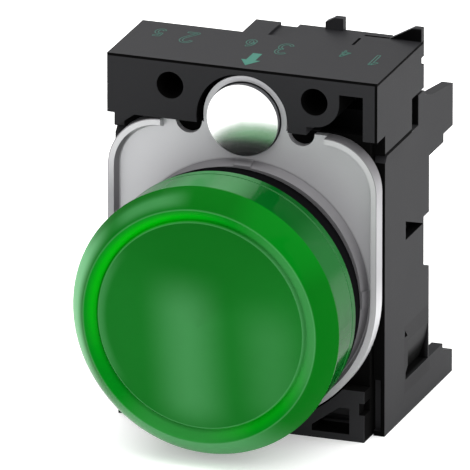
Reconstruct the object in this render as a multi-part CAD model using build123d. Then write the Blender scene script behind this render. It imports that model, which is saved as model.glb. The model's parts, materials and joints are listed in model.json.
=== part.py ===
from build123d import *
import os
from math import atan, degrees, hypot

# Panel pilot light with a green lens, for a 22 mm panel hole. All sizes are in millimetres.
# The origin is on the lens axis, at the panel's front face, where the front seal rests.
# Seen from in front of the panel, +X is to the right and +Z is up. +Y goes through the panel to the rear.
# A "depth" is measured to the rear from the holder's front plane, which rests behind the panel.

# Panel and clearances
PANEL_GAP = 1.9
RUNNING_GAP = 0.05
SEAT_GAP = 0.05
SLIDE_GAP = 0.1
MOULD_GAP = 0.2
CUT = 1.0

# Lens cap
LENS_HEIGHT = 11.5
LENS_OVERHANG = 3.76
LENS_RIM_DROP = 2.2
LENS_RIM_BAND = 0.25
LENS_RIM_STEP = 0.3
LENS_FLANK_WIDTH = 1.91
LENS_FLANK_BULGE = 0.12
LENS_BAND_WIDTH = 1.25
LENS_BAND_DROP = 0.85
LENS_DOME_STEP = 0.35
LENS_DOME_INSET = 0.25
LENS_DOME_RISE = 0.8
DOME_FLAT_R = 0.05
LENS_SKIRT_TAPER = 0.1
LENS_SKIRT_WALL = 1.3
LENS_GROOVE_HEIGHT = 1.1
LENS_GROOVE_WIDTH = 0.25
LENS_GROOVE_DEPTH = 0.12
LENS_FACE_WALL = 1.4
LENS_LEDGE_HEIGHT = 1.5
DIFFUSER_WALL = 0.8
DIFFUSER_LEDGE = 1.1

# Front body, its seals and the wire that locks it
SEAL_THICKNESS = 1.1
SEAL_SETBACK = 0.25
FLANGE_THICKNESS = 1.85
FLANGE_SETBACK = 0.31
NECK_R = 11.0
NECK_WALL = 1.4
NECK_LENGTH = 10.9
KEY_WIDTH = 3.0
KEY_R = 12.6
SEAL_RING_R = 0.55
SEAL_GROOVE_Y = 4.9
SEAL_GROOVE_WIDTH = 1.4
LOCK_WIRE_R = 0.6
LOCK_WIRE_GAP_ANGLE = 44.0

# Holder
HOLDER_W = 30.0
HOLDER_TOP = 24.2
HEAD_DEPTH = 15.26
HEAD_SHORT_DEPTH = 11.0
HEAD_STEP_X = 3.85
HEAD_LIP_Z = 17.64
HEAD_WALL = 1.6
HEAD_FRONT_WALL = 1.3
HEAD_TOP_WALL = 1.72
HEAD_SPLIT_Z = 15.33
HEAD_SIDE_SETBACK = 0.46
HEAD_UPRIGHT_GAP = 0.3
TAB_INSET = 0.8
TAB_DROP = 1.4
TAB_TIP = 0.3
TAB_ROOT = 2.2
BOSS_X = 8.0
BOSS_Z = 21.37
BOSS_R = 2.75
BOSS_BORE_R = 1.5
BOSS_BORE_DEPTH = 9.0
BOSS_RIB_X = 7.14
BOSS_LEDGE_Z = 18.55
LATCH_SLOT_LENGTH = 2.09
SIDE_SLIT_LENGTH = 0.75
SIDE_SLIT_Z = 22.1
SIDE_SLIT_HEIGHT = 1.0
ROOF_GROOVE_WIDTH = 2.1
ROOF_GROOVE_DEPTH = 0.35
ROOF_SLIT_X = 8.3
ROOF_SLIT_WIDTH = 0.3
ROOF_SLIT_START = 10.9
ROOF_SLIT_LENGTH = 2.3
ROOF_LINE_START = 14.1
ROOF_LINE_WIDTH = 0.2
ROOF_LINE_DEPTH = 0.3
LEFT_EAR_X = 4.06
LEFT_EAR_WIDTH = 2.0
LEFT_EAR_HEIGHT = 1.35
LEFT_EAR_BEVEL = 0.55
LEFT_EAR_FRONT = 0.6
LEFT_EAR_REAR = 0.3
RIGHT_EAR_X = 11.4
RIGHT_EAR_HEIGHT = 1.5
RIGHT_EAR_FLAT = 0.94
RIGHT_EAR_THICKNESS = 0.8
TUNNEL_END_WALL = 1.6
WEB_DEPTH = 1.8
WEB_THICKNESS = 1.4
WEB_SIDE_GAP = 1.4
BLOCK_DEPTH = 2.9
BLOCK_HEIGHT = 5.65
BLOCK_FOOT = 0.73
BLOCK_BELOW_PLATE = 0.91
BLOCK_OPENING_X = 7.76
BLOCK_OPENING_WIDTH = 4.21
BLOCK_OPENING_HEIGHT = 2.92
BLOCK_OPENING_SIDE = 0.66
BLOCK_OPENING_FLAT = 1.13
BLOCK_NOTCH_HEIGHT = 3.0
BLOCK_NOTCH_SIZE = 1.35
BLOCK_NOTCH_DEPTH = 0.6

# Retaining plate
PLATE_SIDE_GAP = 0.06
PLATE_TOP_GAP = 0.19
PLATE_CORNER_R = 5.7
PLATE_FLOOR_DEPTH = 1.0
PLATE_RIM = 0.66
PLATE_SLOPE = 0.4
PLATE_RIM_END_X = 9.1
PLATE_NOTCH_X = 6.25
PLATE_NOTCH_R = 1.46
LUG_R = 4.63
COLLAR_R = 13.25
COLLAR_FLARE = 0.5
PAD_WIDTH = 1.9
PAD_PROUD = 0.15

# Clamping screw
SCREW_Z = 18.36
FOOT_R = 3.93
FOOT_THICKNESS = 1.4
FOOT_DOME = 0.25
HUB_R = 3.0
HUB_LENGTH = 3.1
CLAMP_THREAD_R = 2.0
CLAMP_TIP_DEPTH = 1.65
CLAMP_HEAD_DEPTH = 13.3
CLAMP_HEAD_R = 3.4
CLAMP_HEAD_LENGTH = 1.9
NUT_SIDE = 7.0
NUT_DEPTH = 7.0
NUT_THICKNESS = 3.2
RECESS_R = 5.1
RECESS_DEPTH = 2.2

# Module carrier
CARRIER_FRONT_DEPTH = 2.5
CARRIER_WALL = 1.23
WALL_RELIEF_WIDTH = 0.8
WALL_RELIEF_LOW_Z = -15.3
WALL_RELIEF_HIGH_Z = -9.6
CARRIER_WEB_DEPTH = 3.25
CARRIER_WEB_THICKNESS = 1.2
CARRIER_WEB_TOP_Z = 14.4
CARRIER_FLOOR = 1.2
CARRIER_FLOOR_END = 11.7
CARRIER_RAIL = 0.9
CARRIER_BEVEL = 0.8
WALL_END_DEPTH = 16.55
ARM_END_DEPTH = 24.1
LOWER_ARM_HEIGHT = 4.1
LOWER_ARM_STEP = 3.1
LOWER_ARM_STEP_DROP = 0.85
LOWER_ARM_END_HEIGHT = 2.45
UPPER_ARM_LOW_Z = 10.78
UPPER_ARM_STEP = 2.96
UPPER_ARM_STEP_RISE = 0.92
UPPER_ARM_END_Z = 16.42
UPPER_ARM_ROOT_DEPTH = 17.05
UPPER_ARM_ROOT_Z = 17.4
REAR_NOTCH_DEPTH = 1.7
REAR_NOTCH_LOW_Z = -0.85
REAR_NOTCH_TOP_Z = 4.55
REAR_NOTCH_RAMP = 0.6
UPRIGHT_DEPTH = 13.06
UPRIGHT_TOP_Z = 18.65
UPRIGHT_TOP_LENGTH = 1.74
UPRIGHT_BEVEL = 0.6
UPRIGHT_BEVEL_LENGTH = 0.43
PARTITION_X = 5.1
PARTITION_WALL = 0.8
PARTITION_END = 13.0
GUIDE_WALL = 0.85
GUIDE_START = 8.0
GUIDE_END = 14.8
GUIDE_LOW_Z = -12.0
GUIDE_TOP_Z = 7.0
WINDOW_START = 9.1
WINDOW_LENGTH = 5.4
WINDOW_LOW_Z = 3.85
WINDOW_HEIGHT = 2.1
WINDOW_END_HEIGHT = 0.1
DIMPLE_START = 8.95
DIMPLE_LENGTH = 0.85
DIMPLE_Z = -7.0
DIMPLE_HEIGHT = 0.85
POCKET_START = 9.85
POCKET_HEIGHT = 4.15
POCKET_FLOOR = 0.15
POCKET_BULGE = 0.35
POCKET_LIP = 0.3
POCKET_CORNER = 0.7
HOOK_WINDOW_START = 8.3
HOOK_WINDOW_END = 10.0
HOOK_WINDOW_HALF_W = 3.0
SLOT_PITCH = 9.4

# Lamp module
MODULE_HALF_W = 4.9
MODULE_END_DEPTH = 36.0
MODULE_WALL = 1.0
MODULE_CHAMFER = 1.5
COVER_THICKNESS = 0.95
NOSE_R = 4.6
NOSE_BORE_R = 3.2
NOSE_DEPTH = 5.0
TONGUE_HALF_W = 2.8
TONGUE_THICKNESS = 1.1
HOOK_HEIGHT = 0.6
BOARD_X = -2.4
BOARD_THICKNESS = 1.0
BOARD_DEPTH = 14.0
BOARD_LENGTH = 11.0
BOARD_HALF_H = 7.0
LED_R = 2.5
LED_TIP_DEPTH = 4.6
LED_FLANGE_R = 2.9
LED_BACK_DEPTH = 12.6
LEAD_PITCH = 2.54
LEAD_SIDE = 0.5
LEAD_LENGTH = 3.4
RESISTOR_R = 1.2
RESISTOR_LENGTH = 6.5
RESISTOR_START = 1.5
RESISTOR_BELOW_MIDDLE = 3.7
RECTIFIER_START = 7.0
RECTIFIER_ABOVE_MIDDLE = 0.6
RECTIFIER_LENGTH = 4.0
RECTIFIER_HEIGHT = 5.0
RECTIFIER_RISE = 2.2
CAPACITOR_START = 3.2
CAPACITOR_ABOVE_MIDDLE = 4.4
CAPACITOR_LENGTH = 4.6
CAPACITOR_HEIGHT = 2.6
CAPACITOR_RISE = 3.0

# Terminals of the lamp module
TERMINAL_OFFSET = 9.6
STRIP_DEPTH = 26.0
STRIP_THICKNESS = 0.8
STRIP_HALF_W = 3.4
STRIP_LEG_INSET = 6.4
STRIP_LEG_LENGTH = 5.0
CLAMP_HALF_W = 2.9
CLAMP_HALF_H = 2.4
CLAMP_THICKNESS = 1.0
TERMINAL_THREAD_R = 1.5
TERMINAL_SHANK = 6.9
TERMINAL_HEAD_R = 2.5
TERMINAL_HEAD_LENGTH = 2.0
WIRE_HOLE_R = 1.6
DRIVER_SLOT_WIDTH = 0.7
DRIVER_SLOT_DEPTH = 0.9

# Sizes that follow from the ones above
HALF_W = HOLDER_W / 2
PLATE_HALF_W = HALF_W - PLATE_SIDE_GAP
PLATE_TOP_Z = HEAD_LIP_Z - PLATE_TOP_GAP
HOLDER_BOTTOM_Z = -PLATE_HALF_W - BLOCK_BELOW_PLATE
WEB_HALF_W = HALF_W - WEB_SIDE_GAP
COLLAR_SEAT = SEAL_THICKNESS + FLANGE_THICKNESS
HOLE_R = NECK_R + MOULD_GAP
NECK_BORE_R = NECK_R - NECK_WALL
LENS_RIM_R = NECK_R + LENS_OVERHANG
LENS_RIDGE_R = LENS_RIM_R - LENS_FLANK_WIDTH
LENS_FOOT_R = LENS_RIDGE_R - LENS_BAND_WIDTH
LENS_SKIRT_R = LENS_RIM_R - LENS_RIM_STEP - LENS_SKIRT_TAPER
LENS_BORE_R = LENS_SKIRT_R - LENS_SKIRT_WALL
FLANGE_R = LENS_SKIRT_R - FLANGE_SETBACK
FRONT_SEAL_R = FLANGE_R - SEAL_SETBACK
DIFFUSER_SEAT = LENS_HEIGHT - LENS_BAND_DROP - LENS_FACE_WALL - LENS_LEDGE_HEIGHT
SPIGOT_R = LENS_BORE_R - SEAT_GAP
SPIGOT_FRONT = DIFFUSER_SEAT - DIFFUSER_WALL - SEAT_GAP
CARRIER_FLOOR_Z = HOLDER_BOTTOM_Z + CARRIER_FLOOR
CARRIER_RAIL_Z = CARRIER_WEB_TOP_Z - CARRIER_RAIL
MODULE_FRONT_DEPTH = CARRIER_FLOOR_END + SEAT_GAP
MODULE_TOP_Z = CARRIER_RAIL_Z - SLIDE_GAP
MODULE_BOTTOM_Z = CARRIER_FLOOR_Z + SLIDE_GAP
MODULE_MID_Z = (MODULE_TOP_Z + MODULE_BOTTOM_Z) / 2
LOCK_WIRE_DEPTH = CARRIER_WEB_DEPTH + CARRIER_WEB_THICKNESS + LOCK_WIRE_R + SEAT_GAP


def front_slab(outline, start, end):
    """A front-view outline, x to the right and z up, made solid between two depths of the holder."""
    plane = Plane(origin=(0, PANEL_GAP + start, 0), x_dir=(1, 0, 0), z_dir=(0, -1, 0))
    return extrude(plane * outline, amount=start - end)


def side_slab(outline, start_x, end_x):
    """A side-view outline, depth to the rear and z up, made solid between two places across the holder."""
    plane = Plane(origin=(start_x, PANEL_GAP, 0), x_dir=(0, 1, 0), z_dir=(1, 0, 0))
    return extrude(plane * outline, amount=end_x - start_x)


def top_slab(outline, low, high):
    """A top-view outline, x to the right and depth to the rear, made solid between two heights."""
    return extrude(Plane(origin=(0, PANEL_GAP, low)) * outline, amount=high - low)


def box_outline(low_u, high_u, low_v, high_v):
    """A rectangle given by its two sides along each direction of a view."""
    centre = Pos((low_u + high_u) / 2, (low_v + high_v) / 2)
    return centre * Rectangle(high_u - low_u, high_v - low_v)


def block(low_x, high_x, start, end, low_z, high_z):
    """A square-cornered stretch of a moulding between two depths of the holder."""
    return front_slab(box_outline(low_x, high_x, low_z, high_z), start, end)


def rod(x, z, radius, start, end):
    """A round stretch along the depth of the holder."""
    return front_slab(Pos(x, z) * Circle(radius), start, end)


def turned(*edges):
    """A profile of radius and y, closed and turned about the lens axis."""
    return revolve(make_face(edges), Axis.Y)


def dome_edge(radius, edge_y, rise):
    """The profile of a shallow dome from a tiny flat on the axis to its round edge."""
    centre = (radius ** 2 - DOME_FLAT_R ** 2 + rise ** 2) / (2 * rise)
    half_way = radius / 2
    sink = centre - (centre ** 2 + DOME_FLAT_R ** 2 - half_way ** 2) ** 0.5
    top_y = edge_y - rise
    return (
        Line((0, top_y), (DOME_FLAT_R, top_y)),
        ThreePointArc((DOME_FLAT_R, top_y), (half_way, top_y + sink), (radius, edge_y)),
    )


def lens_cap():
    """The green cap: a dome in a conical band, a ridge, a sloping flank and a skirt with its thread."""
    ridge_y = -LENS_HEIGHT
    rim_y = ridge_y + LENS_RIM_DROP
    foot_y = ridge_y + LENS_BAND_DROP
    dome_y = foot_y - LENS_DOME_STEP
    dome_r = LENS_FOOT_R - LENS_DOME_INSET
    # The flank is an arc that stands a little proud of the straight line from the ridge to the rim.
    slant = hypot(LENS_FLANK_WIDTH, LENS_RIM_DROP)
    flank_middle = (
        (LENS_RIDGE_R + LENS_RIM_R) / 2 + LENS_FLANK_BULGE * LENS_RIM_DROP / slant,
        (ridge_y + rim_y) / 2 - LENS_FLANK_BULGE * LENS_FLANK_WIDTH / slant,
    )
    skirt_front_r = LENS_RIM_R - LENS_RIM_STEP
    skirt_front_y = rim_y + LENS_RIM_BAND + LENS_RIM_STEP
    skirt_end_y = -COLLAR_SEAT - SEAT_GAP
    groove_front_y = skirt_end_y - LENS_GROOVE_HEIGHT
    groove_end_y = groove_front_y + LENS_GROOVE_WIDTH
    groove_r = LENS_SKIRT_R - LENS_GROOVE_DEPTH
    ledge_r = LENS_BORE_R - DIFFUSER_LEDGE
    inner_y = foot_y + LENS_FACE_WALL
    return turned(
        *dome_edge(dome_r, dome_y, LENS_DOME_RISE),
        Polyline((dome_r, dome_y), (LENS_FOOT_R, foot_y), (LENS_RIDGE_R, ridge_y)),
        ThreePointArc((LENS_RIDGE_R, ridge_y), flank_middle, (LENS_RIM_R, rim_y)),
        Polyline(
            (LENS_RIM_R, rim_y),
            (LENS_RIM_R, rim_y + LENS_RIM_BAND),
            (skirt_front_r, skirt_front_y),
            (LENS_SKIRT_R, groove_front_y),
            (groove_r, groove_front_y),
            (groove_r, groove_end_y),
            (LENS_SKIRT_R, groove_end_y),
            (LENS_SKIRT_R, skirt_end_y),
            (LENS_BORE_R, skirt_end_y),
            (LENS_BORE_R, -DIFFUSER_SEAT),
            (ledge_r, -DIFFUSER_SEAT),
            (ledge_r, inner_y),
        ),
        *dome_edge(ledge_r, inner_y, LENS_DOME_RISE),
        Line((0, inner_y - LENS_DOME_RISE), (0, dome_y - LENS_DOME_RISE)),
    )


def diffuser():
    """The milky disc that spreads the lamp's light, held between the lens and the front body."""
    disc_r = LENS_BORE_R - SEAT_GAP
    back_y = DIFFUSER_WALL - DIFFUSER_SEAT
    front_y = SEAT_GAP - DIFFUSER_SEAT
    return turned(Polyline((0, front_y), (disc_r, front_y), (disc_r, back_y), (0, back_y), close=True))


def lens_seal():
    """The rubber ring between the lens and the front body."""
    ring_r = LENS_BORE_R - SEAT_GAP - SEAL_RING_R
    return revolve(Pos(ring_r, -SEAL_GROOVE_Y) * Circle(SEAL_RING_R), Axis.Y)


def front_body():
    """The sleeve that carries the lens: a spigot, a flange before the panel and a keyed neck through it."""
    groove_r = LENS_BORE_R - 2 * SEAL_RING_R - 2 * SEAT_GAP
    groove_front = -SEAL_GROOVE_Y - SEAL_GROOVE_WIDTH / 2
    groove_back = -SEAL_GROOVE_Y + SEAL_GROOVE_WIDTH / 2
    wire_groove_r = NECK_R - LOCK_WIRE_R - SEAT_GAP
    wire_y = PANEL_GAP + LOCK_WIRE_DEPTH
    wire_half = LOCK_WIRE_R + SEAT_GAP
    sleeve = turned(
        Polyline(
            (NECK_BORE_R, -SPIGOT_FRONT),
            (SPIGOT_R, -SPIGOT_FRONT),
            (SPIGOT_R, groove_front),
            (groove_r, groove_front),
            (groove_r, groove_back),
            (SPIGOT_R, groove_back),
            (SPIGOT_R, -COLLAR_SEAT),
            (FLANGE_R, -COLLAR_SEAT),
            (FLANGE_R, -SEAL_THICKNESS),
            (NECK_R, -SEAL_THICKNESS),
            (NECK_R, wire_y - wire_half),
            (wire_groove_r, wire_y - wire_half),
            (wire_groove_r, wire_y + wire_half),
            (NECK_R, wire_y + wire_half),
            (NECK_R, NECK_LENGTH),
            (NECK_BORE_R, NECK_LENGTH),
            close=True,
        )
    )
    key_root = (NECK_BORE_R + NECK_R) / 2
    key_end = wire_y - wire_half - PANEL_GAP
    key = block(-KEY_WIDTH / 2, KEY_WIDTH / 2, -PANEL_GAP, key_end, key_root, KEY_R)
    return sleeve + key


def front_seal():
    """The flat rubber ring between the flange and the panel."""
    ring = Circle(FRONT_SEAL_R) - Circle(NECK_R + SEAT_GAP)
    return front_slab(ring, -PANEL_GAP - SEAL_THICKNESS, -PANEL_GAP)


def lock_wire():
    """The open spring ring in the neck's groove, which keeps the neck in the holder."""
    y = PANEL_GAP + LOCK_WIRE_DEPTH
    section = Plane.XY * Pos(NECK_R, y) * Circle(LOCK_WIRE_R)
    ring = revolve(section, Axis.Y, 360 - LOCK_WIRE_GAP_ANGLE)
    return ring.rotate(Axis.Y, LOCK_WIRE_GAP_ANGLE / 2 - 90)


def neck_hole():
    """The front-view opening that the keyed neck passes through."""
    slot_half = KEY_WIDTH / 2 + MOULD_GAP
    return Circle(HOLE_R) + box_outline(-slot_half, slot_half, 0, KEY_R + MOULD_GAP)


def plate_outline(inset):
    """The retaining plate's outline, half round below and with two round corners above."""
    half_w = PLATE_HALF_W - inset
    top = PLATE_TOP_Z - inset
    outline = Circle(half_w) + box_outline(-half_w, half_w, 0, top)
    corners = outline.vertices().group_by(Axis.Y)[-1]
    return fillet(corners, PLATE_CORNER_R - inset)


def tapered_pocket(outline, depth, slope):
    """A pocket that narrows from the front by the same slope all round."""
    plane = Plane(origin=(0, PANEL_GAP, 0), x_dir=(1, 0, 0), z_dir=(0, -1, 0))
    return extrude(plane * outline, amount=-depth, taper=degrees(atan(slope / depth)))


def retaining_plate():
    """The cast metal tray behind the panel, with its rim, the collar round the neck and the screw's lug."""
    back = WEB_DEPTH
    floor = PLATE_FLOOR_DEPTH
    plate = front_slab(plate_outline(0), 0, back)
    plate -= tapered_pocket(plate_outline(PLATE_RIM), floor, PLATE_SLOPE)
    # The rim stops short of the middle of the top edge.
    plate -= block(-PLATE_RIM_END_X, PLATE_RIM_END_X, -CUT, floor, COLLAR_R, PLATE_TOP_Z + CUT)
    # The collar flares towards the plate's floor, and pads stand on it at the four quarters.
    collar = revolve(
        make_face(
            Polyline(
                (HOLE_R, PANEL_GAP),
                (COLLAR_R, PANEL_GAP),
                (COLLAR_R + COLLAR_FLARE, PANEL_GAP + floor),
                (HOLE_R, PANEL_GAP + floor),
                close=True,
            )
        ),
        Axis.Y,
    )
    plate += collar
    pad_outline = make_face(
        Polyline(
            (0, COLLAR_R - CUT),
            (0, COLLAR_R + PAD_PROUD),
            (floor, COLLAR_R + COLLAR_FLARE + PAD_PROUD),
            (floor, COLLAR_R - CUT),
            close=True,
        )
    )
    pad = side_slab(pad_outline, -PAD_WIDTH / 2, PAD_WIDTH / 2)
    for quarter in range(4):
        plate += pad.rotate(Axis.Y, 90 * quarter)
    # The lug goes round the clamping foot, level with the plate's floor.
    plate += rod(0, SCREW_Z, LUG_R, floor, back)
    for side in (-1, 1):
        plate -= rod(side * PLATE_NOTCH_X, PLATE_TOP_Z, PLATE_NOTCH_R, -CUT, back + CUT)
    plate -= rod(0, SCREW_Z, FOOT_R + MOULD_GAP / 2, -CUT, back + CUT)
    return plate - front_slab(neck_hole(), -CUT, back + CUT)


def head_front_wall():
    """The front view of the head's front wall, with the boss and the angled opening at its right."""
    opening_left = BOSS_X + BOSS_R
    opening_right = HALF_W - HEAD_WALL
    opening_top = HOLDER_TOP - HEAD_TOP_WALL
    tab_x = TAB_INSET - HALF_W
    tab_z = HEAD_LIP_Z - TAB_DROP
    wall = make_face(
        Polyline(
            (-HALF_W, HOLDER_TOP),
            (-HALF_W, HEAD_LIP_Z),
            (tab_x, HEAD_LIP_Z),
            (tab_x, tab_z),
            (tab_x + TAB_TIP, tab_z),
            (tab_x + TAB_ROOT, HEAD_LIP_Z),
            (BOSS_RIB_X, HEAD_LIP_Z),
            (BOSS_RIB_X, BOSS_LEDGE_Z),
            (BOSS_X, BOSS_LEDGE_Z),
            (BOSS_X, BOSS_Z),
            (opening_left, BOSS_Z),
            (opening_left, opening_top),
            (opening_right, opening_top),
            (opening_right, HEAD_LIP_Z),
            (HALF_W, HEAD_LIP_Z),
            (HALF_W, HOLDER_TOP),
            close=True,
        )
    )
    return wall + Pos(BOSS_X, BOSS_Z) * Circle(BOSS_R)


def head_side_wall(end_depth):
    """The side view of the head's side wall, with a shallow lip at its front and the latch slot behind."""
    slot_start = UPRIGHT_DEPTH - LATCH_SLOT_LENGTH
    front = CARRIER_FRONT_DEPTH
    end = min(slot_start, end_depth)
    wall = box_outline(0, front, HEAD_LIP_Z, HOLDER_TOP)
    wall += box_outline(front, end, HEAD_SPLIT_Z + SEAT_GAP, HOLDER_TOP)
    if end_depth > slot_start:
        slit_low = SIDE_SLIT_Z - SIDE_SLIT_HEIGHT / 2
        slit_high = slit_low + SIDE_SLIT_HEIGHT
        wall += box_outline(slot_start, end_depth, UPRIGHT_TOP_Z + HEAD_UPRIGHT_GAP, HOLDER_TOP)
        wall -= box_outline(end_depth - SIDE_SLIT_LENGTH, end_depth + CUT, slit_low, slit_high)
    return wall


def block_openings():
    """The front view of the block's two openings, each with one corner cut off."""
    low = HOLDER_BOTTOM_Z + BLOCK_FOOT
    high = low + BLOCK_OPENING_HEIGHT
    far_x = BLOCK_OPENING_X + BLOCK_OPENING_WIDTH
    opening = make_face(
        Polyline(
            (BLOCK_OPENING_X, low),
            (far_x, low),
            (far_x, high),
            (far_x - BLOCK_OPENING_FLAT, high),
            (BLOCK_OPENING_X, low + BLOCK_OPENING_SIDE),
            close=True,
        )
    )
    return opening + mirror(opening, Plane.YZ)


def head_shell():
    """The hood over the screw: its roof, its front, side and rear walls, and the two bosses."""
    top_low = HOLDER_TOP - HEAD_TOP_WALL
    side_end = HEAD_DEPTH - HEAD_SIDE_SETBACK
    roof = box_outline(-HALF_W, HALF_W, 0, HEAD_SHORT_DEPTH)
    roof += box_outline(-HEAD_STEP_X, HALF_W, 0, HEAD_DEPTH)
    roof -= box_outline(RIGHT_EAR_X, HALF_W + CUT, side_end, HEAD_DEPTH + CUT)
    shell = top_slab(roof, top_low, HOLDER_TOP)
    shell += front_slab(head_front_wall(), 0, HEAD_FRONT_WALL)
    shell += side_slab(head_side_wall(side_end), HALF_W - HEAD_WALL, HALF_W)
    shell += side_slab(head_side_wall(HEAD_SHORT_DEPTH), -HALF_W, HEAD_WALL - HALF_W)
    rear_wall = block(
        RECESS_R - MOULD_GAP,
        HALF_W - HEAD_WALL,
        HEAD_SHORT_DEPTH - HEAD_FRONT_WALL,
        HEAD_SHORT_DEPTH,
        CARRIER_WEB_TOP_Z + MOULD_GAP,
        top_low,
    )
    shell += rear_wall + mirror(rear_wall, Plane.YZ)
    for side in (-1, 1):
        shell += rod(side * BOSS_X, BOSS_Z, BOSS_R, 0, HEAD_SHORT_DEPTH)
        shell -= rod(side * BOSS_X, BOSS_Z, BOSS_BORE_R, -CUT, BOSS_BORE_DEPTH)
    return shell


def screw_tunnel():
    """The walls round the clamping screw and its nut."""
    half = RECESS_R - MOULD_GAP
    end = NUT_DEPTH + NUT_THICKNESS + TUNNEL_END_WALL
    low = SCREW_Z - NUT_SIDE / 2 - MOULD_GAP
    tunnel = block(-half, half, WEB_DEPTH, end, low, HOLDER_TOP - HEAD_TOP_WALL)
    return tunnel + rod(0, SCREW_Z, half - MOULD_GAP, end, HEAD_DEPTH - MOULD_GAP)


def screw_room():
    """The space for the foot's recess and hub, the screw and its head, and the slot for the nut."""
    nut_end = NUT_DEPTH + NUT_THICKNESS
    nut_half = NUT_SIDE / 2 + SEAT_GAP
    room = rod(0, SCREW_Z, RECESS_R, -CUT, RECESS_DEPTH)
    room += rod(0, SCREW_Z, HUB_R + MOULD_GAP / 2, 0, FOOT_THICKNESS + HUB_LENGTH + MOULD_GAP)
    room += rod(0, SCREW_Z, CLAMP_THREAD_R + MOULD_GAP, 0, nut_end + CUT)
    room += rod(0, SCREW_Z, CLAMP_HEAD_R + MOULD_GAP, nut_end, HEAD_DEPTH + CUT)
    nut_slot = box_outline(-nut_half, nut_half, 0, SCREW_Z + nut_half)
    return room + front_slab(nut_slot, NUT_DEPTH - SEAT_GAP, nut_end + SEAT_GAP)


def lower_block():
    """The block below the plate, with a notch in its right end."""
    notch_low = HOLDER_BOTTOM_Z + BLOCK_NOTCH_HEIGHT
    notch_high = notch_low + BLOCK_NOTCH_SIZE
    high = HOLDER_BOTTOM_Z + BLOCK_HEIGHT
    outline = box_outline(-WEB_HALF_W - MOULD_GAP, WEB_HALF_W, HOLDER_BOTTOM_Z, high)
    outline -= Circle(PLATE_HALF_W + MOULD_GAP)
    outline -= box_outline(WEB_HALF_W - BLOCK_NOTCH_DEPTH, WEB_HALF_W + CUT, notch_low, notch_high)
    return front_slab(outline, 0, BLOCK_DEPTH)


def latch_ears():
    """The two ears on top that guide a module's latch."""
    top_low = HOLDER_TOP - HEAD_TOP_WALL
    side_end = HEAD_DEPTH - HEAD_SIDE_SETBACK
    left_top = HOLDER_TOP + LEFT_EAR_HEIGHT
    left_far = LEFT_EAR_X + LEFT_EAR_WIDTH
    left = make_face(
        Polyline(
            (LEFT_EAR_X, top_low),
            (LEFT_EAR_X, left_top - LEFT_EAR_BEVEL),
            ((LEFT_EAR_X + left_far) / 2, left_top),
            (left_far, left_top),
            (left_far, top_low),
            close=True,
        )
    )
    right_top = HOLDER_TOP + RIGHT_EAR_HEIGHT
    right = make_face(
        Polyline(
            (RIGHT_EAR_X, HOLDER_TOP),
            (HALF_W - RIGHT_EAR_FLAT, right_top),
            (HALF_W, right_top),
            (HALF_W, top_low),
            (RIGHT_EAR_X, top_low),
            close=True,
        )
    )
    ears = front_slab(left, HEAD_DEPTH - LEFT_EAR_FRONT, HEAD_DEPTH + LEFT_EAR_REAR)
    return ears + front_slab(right, side_end - RIGHT_EAR_THICKNESS, side_end)


def holder_head():
    """The front moulding: the hood over the screw, the web behind the plate and the block below it."""
    web_end = WEB_DEPTH + WEB_THICKNESS
    web = box_outline(-WEB_HALF_W, WEB_HALF_W, HOLDER_BOTTOM_Z, HEAD_LIP_Z)
    head = head_shell() + front_slab(web, WEB_DEPTH, web_end)
    lip_top_z = HEAD_LIP_Z + HEAD_FRONT_WALL
    head += block(-WEB_HALF_W, BOSS_RIB_X, HEAD_FRONT_WALL, web_end, HEAD_LIP_Z, lip_top_z)
    head += screw_tunnel()
    head -= screw_room()
    head += lower_block()
    head -= front_slab(block_openings() + neck_hole(), -CUT, web_end + CUT)
    # A groove along the middle of the roof's rear, and a slit and a thin groove for a module's latch.
    top_low = HOLDER_TOP - HEAD_TOP_WALL
    groove_half = ROOF_GROOVE_WIDTH / 2
    slit_end_x = ROOF_SLIT_X + ROOF_SLIT_WIDTH
    above = HOLDER_TOP + CUT
    behind = HEAD_DEPTH + CUT
    groove_z = HOLDER_TOP - ROOF_GROOVE_DEPTH
    slit_end = ROOF_SLIT_START + ROOF_SLIT_LENGTH
    line_end = ROOF_LINE_START + ROOF_LINE_WIDTH
    line_z = HOLDER_TOP - ROOF_LINE_DEPTH
    head -= block(-groove_half, groove_half, HEAD_SHORT_DEPTH, behind, groove_z, above)
    head -= block(ROOF_SLIT_X, slit_end_x, ROOF_SLIT_START, slit_end, top_low - CUT, above)
    head -= block(slit_end_x, RIGHT_EAR_X, ROOF_LINE_START, line_end, line_z, above)
    return head + latch_ears()


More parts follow.
